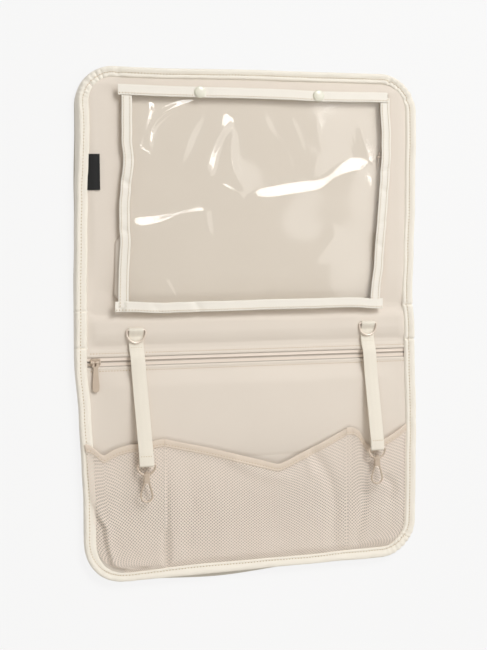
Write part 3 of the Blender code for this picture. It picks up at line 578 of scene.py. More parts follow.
def cap_ends(bm):
    """Join a grid bent into a tube, and fill its two open ends."""
    bmesh.ops.remove_doubles(bm, verts=bm.verts, dist=0.001)
    bmesh.ops.holes_fill(bm, edges=[edge for edge in bm.edges if edge.is_boundary], sides=40)
    bmesh.ops.recalc_face_normals(bm, faces=bm.faces)


def flat_uv(bm, layer):
    """UV map in metres, from the x and y of the points."""
    for face in bm.faces:
        for loop in face.loops:
            loop[layer].uv = (loop.vert.co.x * MM, loop.vert.co.y * MM)


def stitches(name, lines, length, gap, thick, sink=0.1):
    """Rows of thread stitches; each line is a function from 0 to 1 with its length."""
    bm = bmesh.new()
    for line, reach in lines:
        count = max(int(reach / (length + gap)), 1)
        for i in range(count):
            middle = line((i + 0.5) / count)
            ahead = line(min((i + 0.5) / count + 0.25 / count, 1.0))
            way = (ahead - middle).normalized()
            turn = way.to_track_quat("X", "Z").to_matrix().to_4x4()
            size = Matrix.Diagonal((length / 2, thick / 2, thick / 2, 1.0))
            place = Matrix.Translation(middle - Vector((0, 0, sink))) @ turn @ size
            bmesh.ops.create_icosphere(bm, subdivisions=1, radius=1.0, matrix=place)
    piece(name, bm, STITCH_THREAD)


def dress(skin, *nodes):
    """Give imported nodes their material."""
    for name in nodes:
        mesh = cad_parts[name].data
        mesh.materials.clear()
        mesh.materials.append(skin)


# Outline of the mat


# How far the soft rim lies from its plain outline: (place along the side, shift in x or y)
LEFT_SHIFT = (
    (-320, 3.0), (-267, 3.9), (-217, 4.2), (-179, 2.7), (-116, 0.3), (-41, -4.4), (46, -3.8),
    (107, -2.0), (156, -0.6), (242, 1.4), (320, 0.5),
)
RIGHT_SHIFT = (
    (-320, 0.5), (-274, 0.9), (-220, 1.8), (-138, 2.8), (-56, 0.5), (-20, 0.0), (38, -3.0),
    (90, -1.4), (159, 0.6), (264, 1.8), (320, 2.0),
)
LOW_SHIFT = ((-225, -1.6), (-164, -2.8), (-73, -2.3), (63, -0.4), (162, 0.0), (225, 0.0))
HIGH_SHIFT = ((-225, 0.3), (-130, -0.7), (-1, 1.2), (135, 1.7), (190, 2.2), (225, 2.2))
LEFT_TWIST = ((-60, 0.0), (-41, 0.8), (46, 1.7), (107, 1.4), (156, 1.6), (242, 3.6), (300, 1.8))
LOW_WIDTH = ((-225, 11.5), (-164, 10.6), (-73, 13.4), (63, 11.8), (162, 13.6), (225, 13.6))
HIGH_WIDTH = 12.5


def settled(point, inward):
    """An outline point moved to where the soft rim really lies."""
    side = LEFT_SHIFT if point.x < 0 else RIGHT_SHIFT
    end = LOW_SHIFT if point.y < 0 else HIGH_SHIFT
    shift_x = curve_at(side, point.y) * abs(inward.x)
    shift_y = curve_at(end, point.x) * abs(inward.y)
    return point + Vector((shift_x, shift_y, 0.0))


def rim_width(point, inward):
    end = curve_at(LOW_WIDTH, point.x) if point.y < 0 else HIGH_WIDTH
    return BINDING_WIDTH * inward.x**2 + end * inward.y**2


def groove_share(point, inward):
    """Where the stitched groove lies across the rim, from its outer edge."""
    side = 0.46 if point.x < 0 else 0.64
    end = 0.8 if point.y < 0 else 0.6
    return side * inward.x**2 + end * inward.y**2


def outline(share, inset=0.0):
    """A point on the mat's plain rounded outline and its direction inwards."""
    straight_x = 2 * (HALF_WIDTH - CORNER)
    straight_y = 2 * (HALF_LENGTH - CORNER)
    bend = math.pi / 2 * CORNER
    runs = (straight_x, bend, straight_y, bend, straight_x, bend, straight_y, bend)
    along = (share % 1.0) * sum(runs)
    corner_x = HALF_WIDTH - CORNER
    corner_y = HALF_LENGTH - CORNER
    middles = ((1, -1), (1, 1), (-1, 1), (-1, -1))
    for k in range(4):
        way = math.radians(90.0 * k)
        forward = Vector((math.cos(way), math.sin(way), 0.0))
        inward = Vector((-forward.y, forward.x, 0.0))
        start_x, start_y = middles[k - 1]
        start = Vector((start_x * corner_x, start_y * corner_y, 0.0)) - inward * CORNER
        if along <= runs[2 * k]:
            return start + forward * along + inward * inset, inward
        along -= runs[2 * k]
        if along <= bend:
            turn = way - math.pi / 2 + along / CORNER
            out = Vector((math.cos(turn), math.sin(turn), 0.0))
            middle = Vector((middles[k][0] * corner_x, middles[k][1] * corner_y, 0.0))
            return middle + out * (CORNER - inset), -out
        along -= bend
    return Vector((-corner_x, -HALF_LENGTH, 0.0)), Vector((0, 1, 0))


OUTLINE_LENGTH = 4 * (HALF_WIDTH + HALF_LENGTH - 2 * CORNER) + math.tau * CORNER


def corner_share(point):
    """How far a point is into one of the round corners, from 0 to 1."""
    past_x = abs(point.x) - (HALF_WIDTH - CORNER)
    past_y = abs(point.y) - (HALF_LENGTH - CORNER)
    if past_x <= 0 or past_y <= 0:
        return 0.0
    return clamp(2.0 * min(past_x, past_y) / CORNER)


def back_cover():
    """Padded back: it stands a little past the binding and lies flat on the floor."""
    edge = 6.0

    def profile(v):
        if v < 0.3:
            return ease(v / 0.3) * 0.94, BACK_TOP - 0.3
        if v < 0.7:
            turn = (v - 0.3) / 0.4 * math.pi
            return 0.94 + 0.06 * math.sin(turn), BACK_TOP / 2 * (1.0 + math.cos(turn)) * 0.94
        return 0.94 * (1.0 - (v - 0.7) / 0.3), 0.0

    def place(u, v):
        share, z = profile(v)
        point, inward = outline(u)
        bulge = -0.4 + 6.2 * hump(point.x, -45.0, 85.0) * max(inward.y, 0.0) ** 4
        bulge += 1.2 * hump(point.y, 200.0, 60.0) * max(inward.x, 0.0) ** 4
        point = settled(point, inward) - inward * bulge
        past = clamp((share - 0.94) / 0.06)
        near = point + inward * edge * (1.0 - past)
        spot = near if share >= 0.94 else (point + inward * edge) * (share / 0.94)
        dent = waves(spot.x, spot.y, 40.0, 3.0) * 0.25 if z > 0.5 else 0.0
        return Vector((spot.x, spot.y, max(z + dent, 0.0)))

    bm = laid_grid(300, 44, place, OUTLINE_LENGTH, 120.0)
    bmesh.ops.remove_doubles(bm, verts=bm.verts, dist=0.01)
    close_up(bm)
    flat_uv(bm, bm.loops.layers.uv["cloth"])
    made = piece("back_cover_cloth", bm, BACK_CLOTH, ["back_cover"])


GROOVE_Z = 12.9
STRIP_Z = 13.1
ROLL_STEPS = 9


def rim_section(width, groove):
    """The rim cut across, as (inset, height): strip, groove, roll, wall and lip."""
    made = [(width + 0.9, LIP_Z), (width + 0.4, LIP_Z + 0.6)]
    for share in (0.88, 0.6, 0.3, 0.1):
        rounding = 0.6 * abs(2.0 * share - 1.0) ** 3
        made.append((groove + (width - groove) * share, STRIP_Z - rounding))
    made += [(groove + 0.3, GROOVE_Z + 0.1), (groove, GROOVE_Z - 0.2)]
    made.append((groove - 0.3, GROOVE_Z + 0.2))
    for k in range(1, ROLL_STEPS):
        share = k / ROLL_STEPS
        rise = (CROWN_Z - GROOVE_Z) * math.sin(math.pi * share**1.25) ** 0.85
        made.append((groove * (1.0 - share), GROOVE_Z + rise))
    made += [(0.0, 10.4), (-0.2, 8.0), (0.1, 6.4), (0.8, BINDING_LOW)]
    made += [(3.5, BINDING_LOW), (3.5, 8.0), (3.6, LIP_Z - 0.1), (7.0, LIP_Z)]
    return made


# Corners: how much the rim is gathered there
GATHERS = {(-1, 1): 1.0, (1, 1): 0.9, (1, -1): 1.1, (-1, -1): 0.3}
# Places where the rim is pinched: x, y, depth, reach
PINCHES = (
    (-171.5, 318.0, 2.2, 3.2),
    (-212.0, 289.0, 2.4, 3.4),
    (190.0, 318.0, 1.6, 3.0),
    (206.0, 303.0, 2.2, 2.8),
    (219.0, 289.0, 1.8, 3.0),
    (221.0, -252.0, 1.8, 3.0),
    (219.0, -272.0, 2.2, 2.6),
    (213.0, -290.0, 2.4, 2.8),
    (205.0, -303.0, 2.0, 2.6),
    (222.0, -136.0, 1.6, 2.4),
    (-216.0, -132.0, 1.2, 2.4),
)


def rim_point(u, k):
    """A point of the rim's cloth: u round the mat, k across its section."""
    plain, inward = outline(u)
    width = rim_width(plain, inward)
    groove = groove_share(plain, inward) * width
    inset, z = rim_section(width, groove)[k % RIM_POINTS]
    along = u * OUTLINE_LENGTH
    top = clamp((z - 10.2) / 1.6) * clamp((width + 0.2 - inset) / 1.5)
    quarter = (1 if plain.x > 0 else -1, 1 if plain.y > 0 else -1)
    gathered = GATHERS[quarter] * corner_share(plain)
    turn = along * math.pi / 8.0 + 2.2 * waves(along, 0.0, 16.0, 5.0)
    tuck = (1.0 - abs(math.sin(turn))) ** 2
    puff = 0.5 * waves(along, inset * 2.5, 16.0, 1.0) + 0.22 * waves(along, inset * 4.0, 5.5, 3.0)
    z += top * (puff - gathered * (1.9 * tuck - 0.5) - 0.1)
    shift = 0.6 * waves(along, 7.0, 34.0, 2.0) + 0.25 * waves(along, 7.0, 9.0, 4.0)
    shift += gathered * 1.1 * tuck * top
    for x, y, depth, reach in PINCHES:
        near = math.hypot(plain.x - x, plain.y - y)
        if near < 3.0 * reach:
            dent = math.exp(-((near / reach) ** 2))
            z -= depth * dent * top
            shift += 0.5 * depth * dent * top
    if abs(inward.x) > 0.99:
        for crease in CREASES:
            notch = hump(plain.y, crease, 1.1)
            z -= 2.3 * notch * top
            shift += 1.0 * notch
            z += 0.5 * top * clamp(1.0 - abs(plain.y + 3.5) / 23.0)
    if plain.x < 0:
        shift += curve_at(LEFT_TWIST, plain.y) * clamp((z - 6.5) / 6.0) * inward.x**2
    spot = settled(plain, inward) + inward * (inset + shift * clamp((z - 5.3) / 2.0))
    return Vector((spot.x, spot.y, max(z, BINDING_LOW)))


def edge_binding():
    """Soft roll round the mat, with a stitched strip along its inner side."""

    def place(u, v):
        return rim_point(u, round(v * RIM_POINTS))

    bm = laid_grid(1100, RIM_POINTS, place, OUTLINE_LENGTH, RIM_CLOTH)
    close_up(bm)
    made = piece("edge_binding_cloth", bm, BINDING_CLOTH, ["edge_binding"])

    def row(share):
        return rim_point(share, GROOVE_POINT) + Vector((0, 0, 0.35))

    stitches("binding_stitches", [(row, OUTLINE_LENGTH)], 2.0, 2.0, 1.3)


def panel_sides(y):
    """The front cloth's two side edges at y, tucked into the rim."""
    radius = CORNER - PANEL_TUCK
    past = max(abs(y) - (HALF_LENGTH - CORNER), 0.0)
    across = HALF_WIDTH - PANEL_TUCK - radius + math.sqrt(max(radius * radius - past * past, 0.0))
    return max(curve_at(LEFT_SHIFT, y), 0.0) - across, min(curve_at(RIGHT_SHIFT, y), 0.0) + across


LEAST_FRONT_Z = 8.9  # the front cloth's upper side where it lies on the boards
SIDE_ZIP_X = (low("side_zip_tape").x + high("side_zip_tape").x) / 2


def front_height(x, y):
    """Height of the front cloth's upper side."""
    edge_x = clamp((HALF_WIDTH - 9.0 - abs(x)) / 15.0)
    edge_y = clamp((HALF_LENGTH - 9.0 - abs(y)) / 15.0)
    free = ease(min(edge_x, edge_y))
    zip_near = ease((abs(y - ZIP_Y) - 6.0) / 12.0)
    rise = 0.8 * waves(x, y * 0.7, 90.0, 11.0) + 0.3 * waves(x, y, 34.0, 12.0)
    # padding under the window, and the slack cloth of the zip pocket
    rise += 2.4 * ease((y - 24.0) / 40.0)
    rise -= 2.4 * hump(x, -197.0, 22.0) * hump(y, 44.0, 34.0)
    slack = ease((-52.0 - y) / 26.0) * clamp((y + 172.0) / 92.0) ** 0.6
    fullness = 3.2 + 3.2 * hump(x, 30.0, 120.0) + 0.9 * waves(x, y, 70.0, 14.0)
    rise += slack * fullness * ease((205.0 - abs(x)) / 40.0)
    # the soft spine: it falls to the lower crease and climbs again to the zip
    spine = ease((y - CREASES[1]) / 19.0) * ease((CREASES[0] - 2.0 - y) / 14.0)
    rise -= 1.5 * hump(y, 20.0, 10.0)
    rise += 3.3 * spine * (0.9 + 0.4 * waves(x, 0.0, 60.0, 13.0))
    crease = 0.7 * hump(y, CREASES[0], 2.6) + 1.5 * hump(y, CREASES[1], 5.5) * free
    # the cloth lies flat beside the short side zip
    side_zip = SIDE_ZIP_X + WINDOW_LEAN * (y - WINDOW_MIDDLE)
    rise *= 1.0 - hump(x, side_zip, 8.0) * ease((y - 20.0) / 12.0) * ease((300.0 - y) / 12.0)
    z = FRONT_Z + free * zip_near * rise - crease * ease((abs(y - ZIP_Y) - 6.0) / 6.0)
    return max(z, LEAST_FRONT_Z)


def front_panels():
    """The front cloth above and below the zip, with a rolled edge along it."""
    spans = (
        ("upper", PANEL_CLOTH, ZIP_UPPER_EDGE, HALF_LENGTH - PANEL_TUCK, 260),
        ("lower", POCKET_CLOTH, PANEL_TUCK - HALF_LENGTH, ZIP_LOWER_EDGE, 190),
    )
    for part, skin, y_low, y_high, rows in spans:

        def place(u, v, y_low=y_low, y_high=y_high):
            y = y_low + (y_high - y_low) * v
            left, right = panel_sides(y)
            x = left + (right - left) * u
            z = front_height(x, y)
            to_zip = min(abs(y - ZIP_UPPER_EDGE), abs(y - ZIP_LOWER_EDGE))
            z += 0.5 * hump(to_zip, 1.6, 1.5) - 0.5 * hump(to_zip, 0.0, 0.6)
            z -= 0.3 * hump(to_zip, 4.8, 1.1)
            return Vector((x, y, z))

        width = 2 * (HALF_WIDTH - PANEL_TUCK)
        bm = laid_grid(150, rows, place, width, y_high - y_low)
        area = sum(face.calc_area() for face in bm.faces) * MM * MM
        thicken(bm, 0.9)
        made = piece("front_cloth_" + part, bm, skin, ["front_panel_" + part])
        flat = (width * MM, (y_high - y_low) * MM)
        area = min(area, flat[0] * flat[1])


def zip_row(y):
    """A straight row of stitches along the zip."""
    reach = HALF_WIDTH - BINDING_WIDTH

    def row(share):
        x = (2.0 * share - 1.0) * reach
        return Vector((x, y, front_height(x, y) + 0.1))

    return row, 2.0 * reach


def zip_across():
    """Zip tapes with a slit between them, with painted shade along the slit and painted shadow
    under the front cloth's edge, and the rows sewn beside the zip.
    """
    reach = HALF_WIDTH - 9.0
    for way, node in ((1, "zip_tape_upper"), (-1, "zip_tape_lower")):

        def place(u, v, way=way):
            x = (2.0 * u - 1.0) * reach
            across = 0.35 + ZIP_TAPE_WIDTH * v
            droop = 0.5 * hump(across, 0.35, 0.7)
            roll = 0.25 * hump(across, 1.6, 0.9)
            return Vector((x, ZIP_Y + way * across, TAPE_Z - droop + roll))

        bm = laid_grid(60, 30, place, 2 * reach, ZIP_TAPE_WIDTH)
        thicken(bm, 0.5)
        made = piece(node + "_cloth", bm, ZIP_TAPE_CLOTH, [node])
    rows = [zip_row(ZIP_UPPER_EDGE + 4.6), zip_row(ZIP_LOWER_EDGE - 5.4)]
    stitches("zip_stitches", rows, 1.9, 1.8, 1.1, sink=0.0)
    dress(PULL_METAL, "zip_stop_left", "zip_stop_right", "zip_slider", "zip_pull")
    dress(COIL_PLASTIC, "zip_lining", "zip_coil")


# Window pocket


def lean(x, y):
    """A place on the pocket, moved with its slight lean."""
    return x + WINDOW_X + WINDOW_LEAN * (y - WINDOW_MIDDLE)


def sway_of(x, y):
    """How far the side tapes pull the pocket's top sideways."""
    right = ease((x - 110.0) / 50.0) * curve_at(SWAYS["tape_right"], y)
    left = ease((-x - 110.0) / 50.0) * curve_at(SWAYS["tape_left"], y)
    return right + left


# Long soft waves of the film: height, its way in x and y, length and start
FILM_WAVES = (
    (0.6, 0.6, 0.8, 130.0, 1.0),
    (0.3, 0.9, -0.45, 95.0, 2.2),
    (0.12, 0.3, 0.95, 60.0, 0.5),
)
# Ridges of the film: points, height and reach
FILM_RIDGES = (
    (((-131, 276), (-139, 250), (-152, 214)), 2.1, 4.0),
    (((-152, 226), (-147, 216), (-134, 212)), 1.4, 3.5),
    (((-134, 214), (-137, 230), (-132, 246), (-119, 261), (-95, 274), (-58, 281)), 2.0, 4.6),
    (((-30, 262), (-49, 234), (-61, 208), (-64, 182)), 3.1, 8.0),
    (((-63, 270), (-84, 240), (-102, 190), (-126, 150)), 1.2, 9.0),
    (((-27, 250), (-32, 215), (-27, 188), (-8, 165)), 1.2, 7.0),
    (((-46, 176), (-29, 168), (-12, 160)), 0.8, 4.0),
    (((-163, 60), (-160, 51), (-163, 42)), 1.4, 3.4),
    (((152, 210), (166, 200), (175, 194)), 0.8, 3.2),
    (((-120, 62), (-108, 40), (-98, 24)), 1.0, 4.0),
    (((8, 270), (22, 239), (42, 220), (51, 189)), 0.5, 7.0),
    (((84, 269), (90, 234), (98, 221), (84, 202), (73, 186)), 0.42, 9.0),
    (((46, 264), (58, 238), (66, 214)), 0.3, 6.0),
    (((-150, 190), (-128, 168), (-96, 150)), 0.9, 6.0),
    (((118, 120), (96, 92), (60, 70)), 0.8, 10.0),
    (((-100, 110), (-70, 84), (-30, 70)), 0.7, 10.0),
)
FILM_RIDGES = [(fold_of(points, 3 * reach), height, reach) for points, height, reach in FILM_RIDGES]
# Slopes of the film that face the far end: points, height at start and end, and width
FILM_SLOPES = (
    (
        ((-12, 160), (19, 166), (45, 171), (66, 174), (88, 177), (100, 183), (112, 191), (126, 200),
         (138, 205), (152, 208)),
        2.9, 4.0, 14.0,
    ),
    (((-166, 127), (-132, 131), (-115, 135), (-92, 142), (-56, 147)), 3.3, 2.7, 12.0),
)
FILM_SLOPES = [(fold_of(points, 90.0), *values) for points, *values in FILM_SLOPES]


def film_height(x, y):
    """Height of the film's lower side."""
    z = 0.0
    for height, way_x, way_y, size, start in FILM_WAVES:
        z += height * math.cos((way_x * x + way_y * y) * math.tau / size + start)
    for off, along, height, reach in folds_at(FILM_RIDGES, x, y):
        fade = ease(min(along, 1.0 - along) * 3.2)
        z += height * fade * hump(off, 0.0, reach)
    for off, along, first, last, width in folds_at(FILM_SLOPES, x, y):
        fade = ease(min(along, 1.0 - along) * 6.0)
        height = first + (last - first) * ease((along - 0.45) / 0.3)
        step = 0.5 * math.sin(math.pi / 2 * clamp(off / (0.72 * width), -1.0, 1.0))
        away = max(abs(off) - 0.72 * width, 0.0)
        z -= height * fade * step * hump(away, 0.0, 30.0)
    edge_x = WINDOW_WIDTH / 2 - abs(x - WINDOW_X - WINDOW_LEAN * (y - WINDOW_MIDDLE))
    edge_y = min(y - WINDOW_LOW, WINDOW_HIGH - y)
    held = ease((min(edge_x, edge_y) - 2.0) / 30.0)
    return FILM_Z + z * held


def window_film():
    """Clear film of the pocket, lightly crumpled."""
    inset = 2.0
    width = WINDOW_WIDTH - 2 * inset
    length = WINDOW_HIGH - WINDOW_LOW - 2 * inset

    def place(u, v):
        y = WINDOW_LOW + inset + length * v
        x = lean((u - 0.5) * width, y)
        return Vector((x + sway_of((u - 0.5) * width, y), y, film_height(x, y)))

    bm = laid_grid(250, 200, place, width, length)
    thicken(bm, 0.4)
    name, node = "window_film_clear", "window_film"
    made = piece(name, bm, CLEAR_FILM, [node], smooth_angle=180)


def gusset():
    """Side walls of the pocket, soft and a little bowed."""
    wall = FILM_Z - 0.4 - LIP_Z
    half = WINDOW_WIDTH / 2 - 4.4
    half_y = (WINDOW_HIGH - WINDOW_LOW) / 2 - 4.4
    corners = ((-half, -half_y), (half, -half_y), (half, half_y), (-half, half_y))

    def place(u, v):
        share = u * 4.0
        k = min(int(share), 3)
        (ax, ay), (bx, by) = corners[k], corners[(k + 1) % 4]
        t = share - k
        x, y = ax + (bx - ax) * t, ay + (by - ay) * t
        out = (Vector((0, -1, 0)), Vector((1, 0, 0)), Vector((0, 1, 0)), Vector((-1, 0, 0)))[k]
        bow = math.sin(math.pi * v) * math.sin(math.pi * t) * waves(share * 9.0, v, 1.0, 31.0)
        if k == 3:
            bow += 7.5 * math.sin(math.pi * v) * ease((t - 0.65) / 0.05) * ease((0.97 - t) / 0.04)
        flange = max(0.25 - v, 0.0) * 4.0
        rise = max(v - 0.25, 0.0) / 0.75
        x -= math.copysign(SEAM_ALLOWANCE * flange, x)
        y -= math.copysign(SEAM_ALLOWANCE * flange, y)
        y += WINDOW_MIDDLE
        pulled = lean(x, y) + rise**3 * sway_of(x, y)
        return Vector((pulled, y, LIP_Z + wall * rise)) + out * bow

    bm = laid_grid(320, 12, place, 4 * half + 4 * half_y, wall + SEAM_ALLOWANCE)
    bmesh.ops.remove_doubles(bm, verts=bm.verts, dist=0.001)
    thicken(bm, 0.6)
    made = piece("gusset_cloth", bm, PANEL_CLOTH, ["window_gusset"])


def tape_strip(name, node, start, end, z, seed, sway, dents):
    """One window tape: a folded ribbon with soft waves, rounded along its long edges.
    sway lists (place, shift across it); dents lists (place, depth, slant)."""
    way = (end - start).normalized()
    side = Vector((-way.y, way.x, 0.0))
    reach = (end - start).length
    half = WINDOW_TAPE / 2
    thick = 0.5
    section = ((-1.0, 0.0), (-0.98, 0.7), (-0.9, 1.2), (-0.6, 0.95), (0.0, 0.8), (0.6, 0.95))
    section += ((0.9, 1.2), (0.98, 0.7), (1.0, 0.0), (0.97, -0.7), (0.8, -1.0), (0.0, -1.0))
    section += ((-0.8, -1.0), (-0.97, -0.7))
    count = len(section)

    def spine(share, across=0.0):
        along = share * reach
        spot = start + way * along
        off = 0.35 * waves(along, 0.0, 18.0, seed)
        measure = spot.x if abs(way.x) > 0.5 else spot.y
        off -= curve_at(sway, measure) * (1.0 if abs(way.y) > 0.5 else -1.0)
        up = 0.6 * waves(along, 5.0, 30.0, seed) * ease(min(share, 1 - share) * 6.0)
        for place, depth, slant in dents:
            up -= depth * hump(measure + slant * across, place, 4.5)
        up += 0.3 * across * waves(along, 9.0, 13.0, seed + 2.0)
        return spot + side * (off + across * half) + Vector((0, 0, z + up))

    def place(u, v):
        across, up = section[round(v * count) % count]
        return spine(u, across) + Vector((0, 0, thick * up))

    bm = laid_grid(max(int(reach / 1.6), 8), count, place, reach, 2 * WINDOW_TAPE)
    for share in (0.0, 1.0):
        close = [v for v in bm.verts if abs((v.co - start).dot(way) - share * reach) < 0.01]
        bmesh.ops.remove_doubles(bm, verts=close, dist=0.001)
    cap_ends(bm)
    made = piece(name, bm, WINDOW_TAPE_CLOTH, [node])
    return spine, reach


# How far each window tape swings off its straight line: (place along it, shift)
SWAYS = {
    "tape_left": (
        (30, 0.0), (64, 0.0), (107, 1.3), (124, 0.0), (151, -0.7), (172, 0.7), (202, 3.6),
        (229, 0.9), (270, 0.0),
    ),
    "tape_right": (
        (30, -4.5), (46, -4.0), (73, -1.2), (105, 0.0), (130, 1.6), (167, 3.3), (191, 4.3),
        (215, 5.0), (239, 4.4), (279, 1.2),
    ),
    "tape_bottom": ((-170, 1.0), (-120, -1.2), (-60, -0.6), (40, 0.4), (130, 0.9), (170, -1.5)),
    "tape_top": ((-170, 0.5), (-100, 0.0), (20, 0.6), (90, -0.5), (170, 0.5)),
}
# Dents of each tape: place along it, depth, and how much they slant
DENTS = {
    "tape_left": ((206, 1.2, 3.0), (177, 1.3, -4.0), (139, 0.9, 3.0), (118, 0.7, -3.0)),
    "tape_right": (
        (196, 1.2, 3.0), (170, 0.9, -3.0), (128, 1.0, 3.0), (98, 0.9, -3.0), (40, 0.9, 5.0),
    ),
    "tape_bottom": (
        (-172, 2.6, 0.0), (-128, 0.8, 6.0), (-75, 1.4, 4.0), (150, 0.8, -5.0), (176, 2.2, 0.0),
    ),
    "tape_top": ((-60, 0.5, 0.0), (96, 0.5, 0.0)),
}


def window_tapes():
    """The four tapes round the window, and their rows of stitches."""
    half = WINDOW_WIDTH / 2
    inner = WINDOW_TAPE / 2
    z_side = (low("window_tape_left").z + high("window_tape_left").z) / 2
    z_end = (low("window_tape_top").z + high("window_tape_top").z) / 2
    low_y, high_y = WINDOW_LOW + inner, WINDOW_HIGH - inner

    def spot(x, y):
        return Vector((lean(x, y), y, 0.0))

    runs = (
        ("tape_left", spot(-half + inner, low_y), spot(-half + inner, high_y), z_side, 41.0),
        ("tape_right", spot(half - inner, low_y), spot(half - inner, high_y), z_side, 42.0),
        ("tape_bottom", spot(-half - 3.5, low_y), spot(half, low_y), z_end, 43.0),
        ("tape_top", spot(-half - 4.8, high_y), spot(half - 2.6, high_y), z_end, 44.0),
    )
    lines = []
    for name, start, end, z, seed in runs:
        strip = tape_strip(name, "window_" + name, start, end, z, seed, SWAYS[name], DENTS[name])
        spine, reach = strip
        for across in ((0.6, -0.6) if "left" in name or "right" in name else (-0.6,)):

            def row(share, spine=spine, across=across):
                return spine(share, across) + Vector((0, 0, 1.0))

            lines.append((row, reach))
    stitches("window_stitches", lines, 1.9, 1.9, 1.2)
    dress(CAP_PLASTIC, "snap_cap_left", "snap_cap_right", "snap_stud_left", "snap_stud_right")
    dress(PULL_METAL, "side_zip_slider", "side_zip_pull")
    dress(COIL_PLASTIC, "side_zip_tape", "side_zip_coil")


# Straps


LEFT_STRAP = {"side": "left", "ring": "strap_ring_left", "loop": "hook_loop_left"}
RIGHT_STRAP = {"side": "right", "ring": "strap_ring_right", "loop": "hook_loop_right"}


def strap_places(strap):
    """Middle of the ring's bar and of the hook loop's bar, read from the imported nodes."""
    node = "strap_" + strap["side"]
    ring_low, ring_high = low(strap["ring"]), high(strap["ring"])
    loop_low, loop_high = low(strap["loop"]), high(strap["loop"])
    return {
        "x": (ring_low.x + ring_high.x) / 2,
        "ring_y": ring_high.y - BAR_RADIUS,
        "ring_z": (ring_low.z + ring_high.z) / 2,
        "hook_x": (loop_low.x + loop_high.x) / 2,
        "hook_y": loop_high.y - BAR_RADIUS,
        "hook_z": (loop_low.z + loop_high.z) / 2,
        "first": low(node).z + STRAP_THICK / 2,
    }


def round_bar(y, middle, radius, start, stop, steps):
    """Webbing round a bar, as (y, z) points."""
    made = []
    for k in range(steps + 1):
        turn = math.radians(start + (stop - start) * k / steps)
        made.append((y + radius * math.cos(turn), middle + radius * math.sin(turn)))
    return made


def resample(points, step):
    """Even points along a path, with its corners rounded."""
    rounded = [Vector(point) for point in softened(points)]
    made = [rounded[0]]
    for a, b in zip(rounded, rounded[1:]):
        while (b - made[-1]).length > step:
            made.append(made[-1] + (b - made[-1]).normalized() * step)
    made.append(rounded[-1])
    return made


def strap(values):
    """One strap: sewn to the mat, round its ring, over the zip and round the hook's loop."""
    at = strap_places(values)
    ring_y, hook_y = at["ring_y"], at["hook_y"]
    first = at["first"]
    second = first + STRAP_THICK + 0.3
    radius = BAR_RADIUS + 0.3 + STRAP_THICK / 2
    path = [(-33.0, first), (ring_y + 0.5, first), (ring_y + radius - 0.3, first + 0.9)]
    path += round_bar(ring_y, at["ring_z"], radius, -60, 110, 9)
    path += [(ring_y - 3.4, at["ring_z"] + radius - 1.5), (ring_y - 7.0, second + 0.6)]
    path += [(ring_y - 9.5, second), (-30.0, second)]
    path += [(-38.3, 16.9), (-44.3, 17.5), (-70.0, 17.9)]
    top = at["hook_z"] + radius
    for share in (0.3, 0.6, 0.85):
        path.append((-70.0 + (hook_y + 82.0) * share, 17.9 + (top - 18.5) * share))
    path.append((hook_y + 10.0, top - 0.1))
    path += round_bar(hook_y, at["hook_z"], radius, 90, 270, 9)
    path += [(hook_y + 5.0, at["hook_z"] - radius + 0.9), (hook_y + 12.0, top - STRAP_THICK - 1.0)]
    points = resample([(y, z) for y, z in path], 1.0)
    total = sum((b - a).length for a, b in zip(points, points[1:]))
    count = len(points)

    def shift(y):
        share = clamp((ring_y - 12.0 - y) / (ring_y - 12.0 - hook_y - 8.0))
        return at["x"] + (at["hook_x"] - at["x"]) * share

    def frame_at(u):
        i = min(int(round(u * (count - 1))), count - 1)
        before, after = points[max(i - 1, 0)], points[min(i + 1, count - 1)]
        way = (after - before).normalized()
        return points[i], Vector((-way.y, way.x))

    section = ((-1.0, 0.0), (-0.985, 0.8), (-0.94, 1.0), (0.94, 1.0), (0.985, 0.8), (1.0, 0.0))
    section += ((0.985, -0.8), (0.94, -1.0), (-0.94, -1.0), (-0.985, -0.8))
    sides = len(section)

    def place(u, v):
        across, up = section[round(v * sides) % sides]
        point, out = frame_at(u)
        spot = point + out * up * STRAP_THICK / 2
        return Vector((shift(spot.x) + across * STRAP_WIDTH / 2, spot.x, spot.y))

    bm = laid_grid(count - 1, sides, place, total, 2 * STRAP_WIDTH)
    layer = bm.loops.layers.uv["cloth"]
    for face in bm.faces:
        for loop in face.loops:
            u, v = loop[layer].uv
            loop[layer].uv = (v, u)
    cap_ends(bm)
    name = "strap_" + values["side"]
    piece(name + "_webbing", bm, WEBBING_CLOTH, [name], smooth_angle=50)

    def row_at(y, z):
        def row(share):
            x = shift(y) + (share - 0.5) * (STRAP_WIDTH - 3.0)
            return Vector((x, y, z))

        return row, STRAP_WIDTH - 3.0

    top_second = second + STRAP_THICK / 2 + 0.1
    hem_z = top + STRAP_THICK / 2 + 0.05
    rows = [row_at(-27.0, top_second), row_at(-20.0, top_second), row_at(hook_y + 11.0, hem_z)]
    stitches(name + "_stitches", rows, 1.8, 1.2, 0.9)


def straps():
    for values in (LEFT_STRAP, RIGHT_STRAP):
        strap(values)
        side = values["side"]
        dress(COATED_METAL, "strap_ring_" + side)
        dress(PULL_METAL, "hook_loop_" + side, "hook_body_" + side)
        dress(PULL_METAL, "hook_pin_" + side, "hook_gate_" + side)


# Net pockets


# How far the left net lies over the rim, by y, and how high its edge is there
LEFT_LAP = ((-267, 0.0), (-235, 3.8), (-205, 7.1), (-166, 8.6), (-143, 10.6))
LAP_RISE = ((0.0, 0.0), (3.8, 2.4), (7.1, 4.3), (10.6, 4.8))


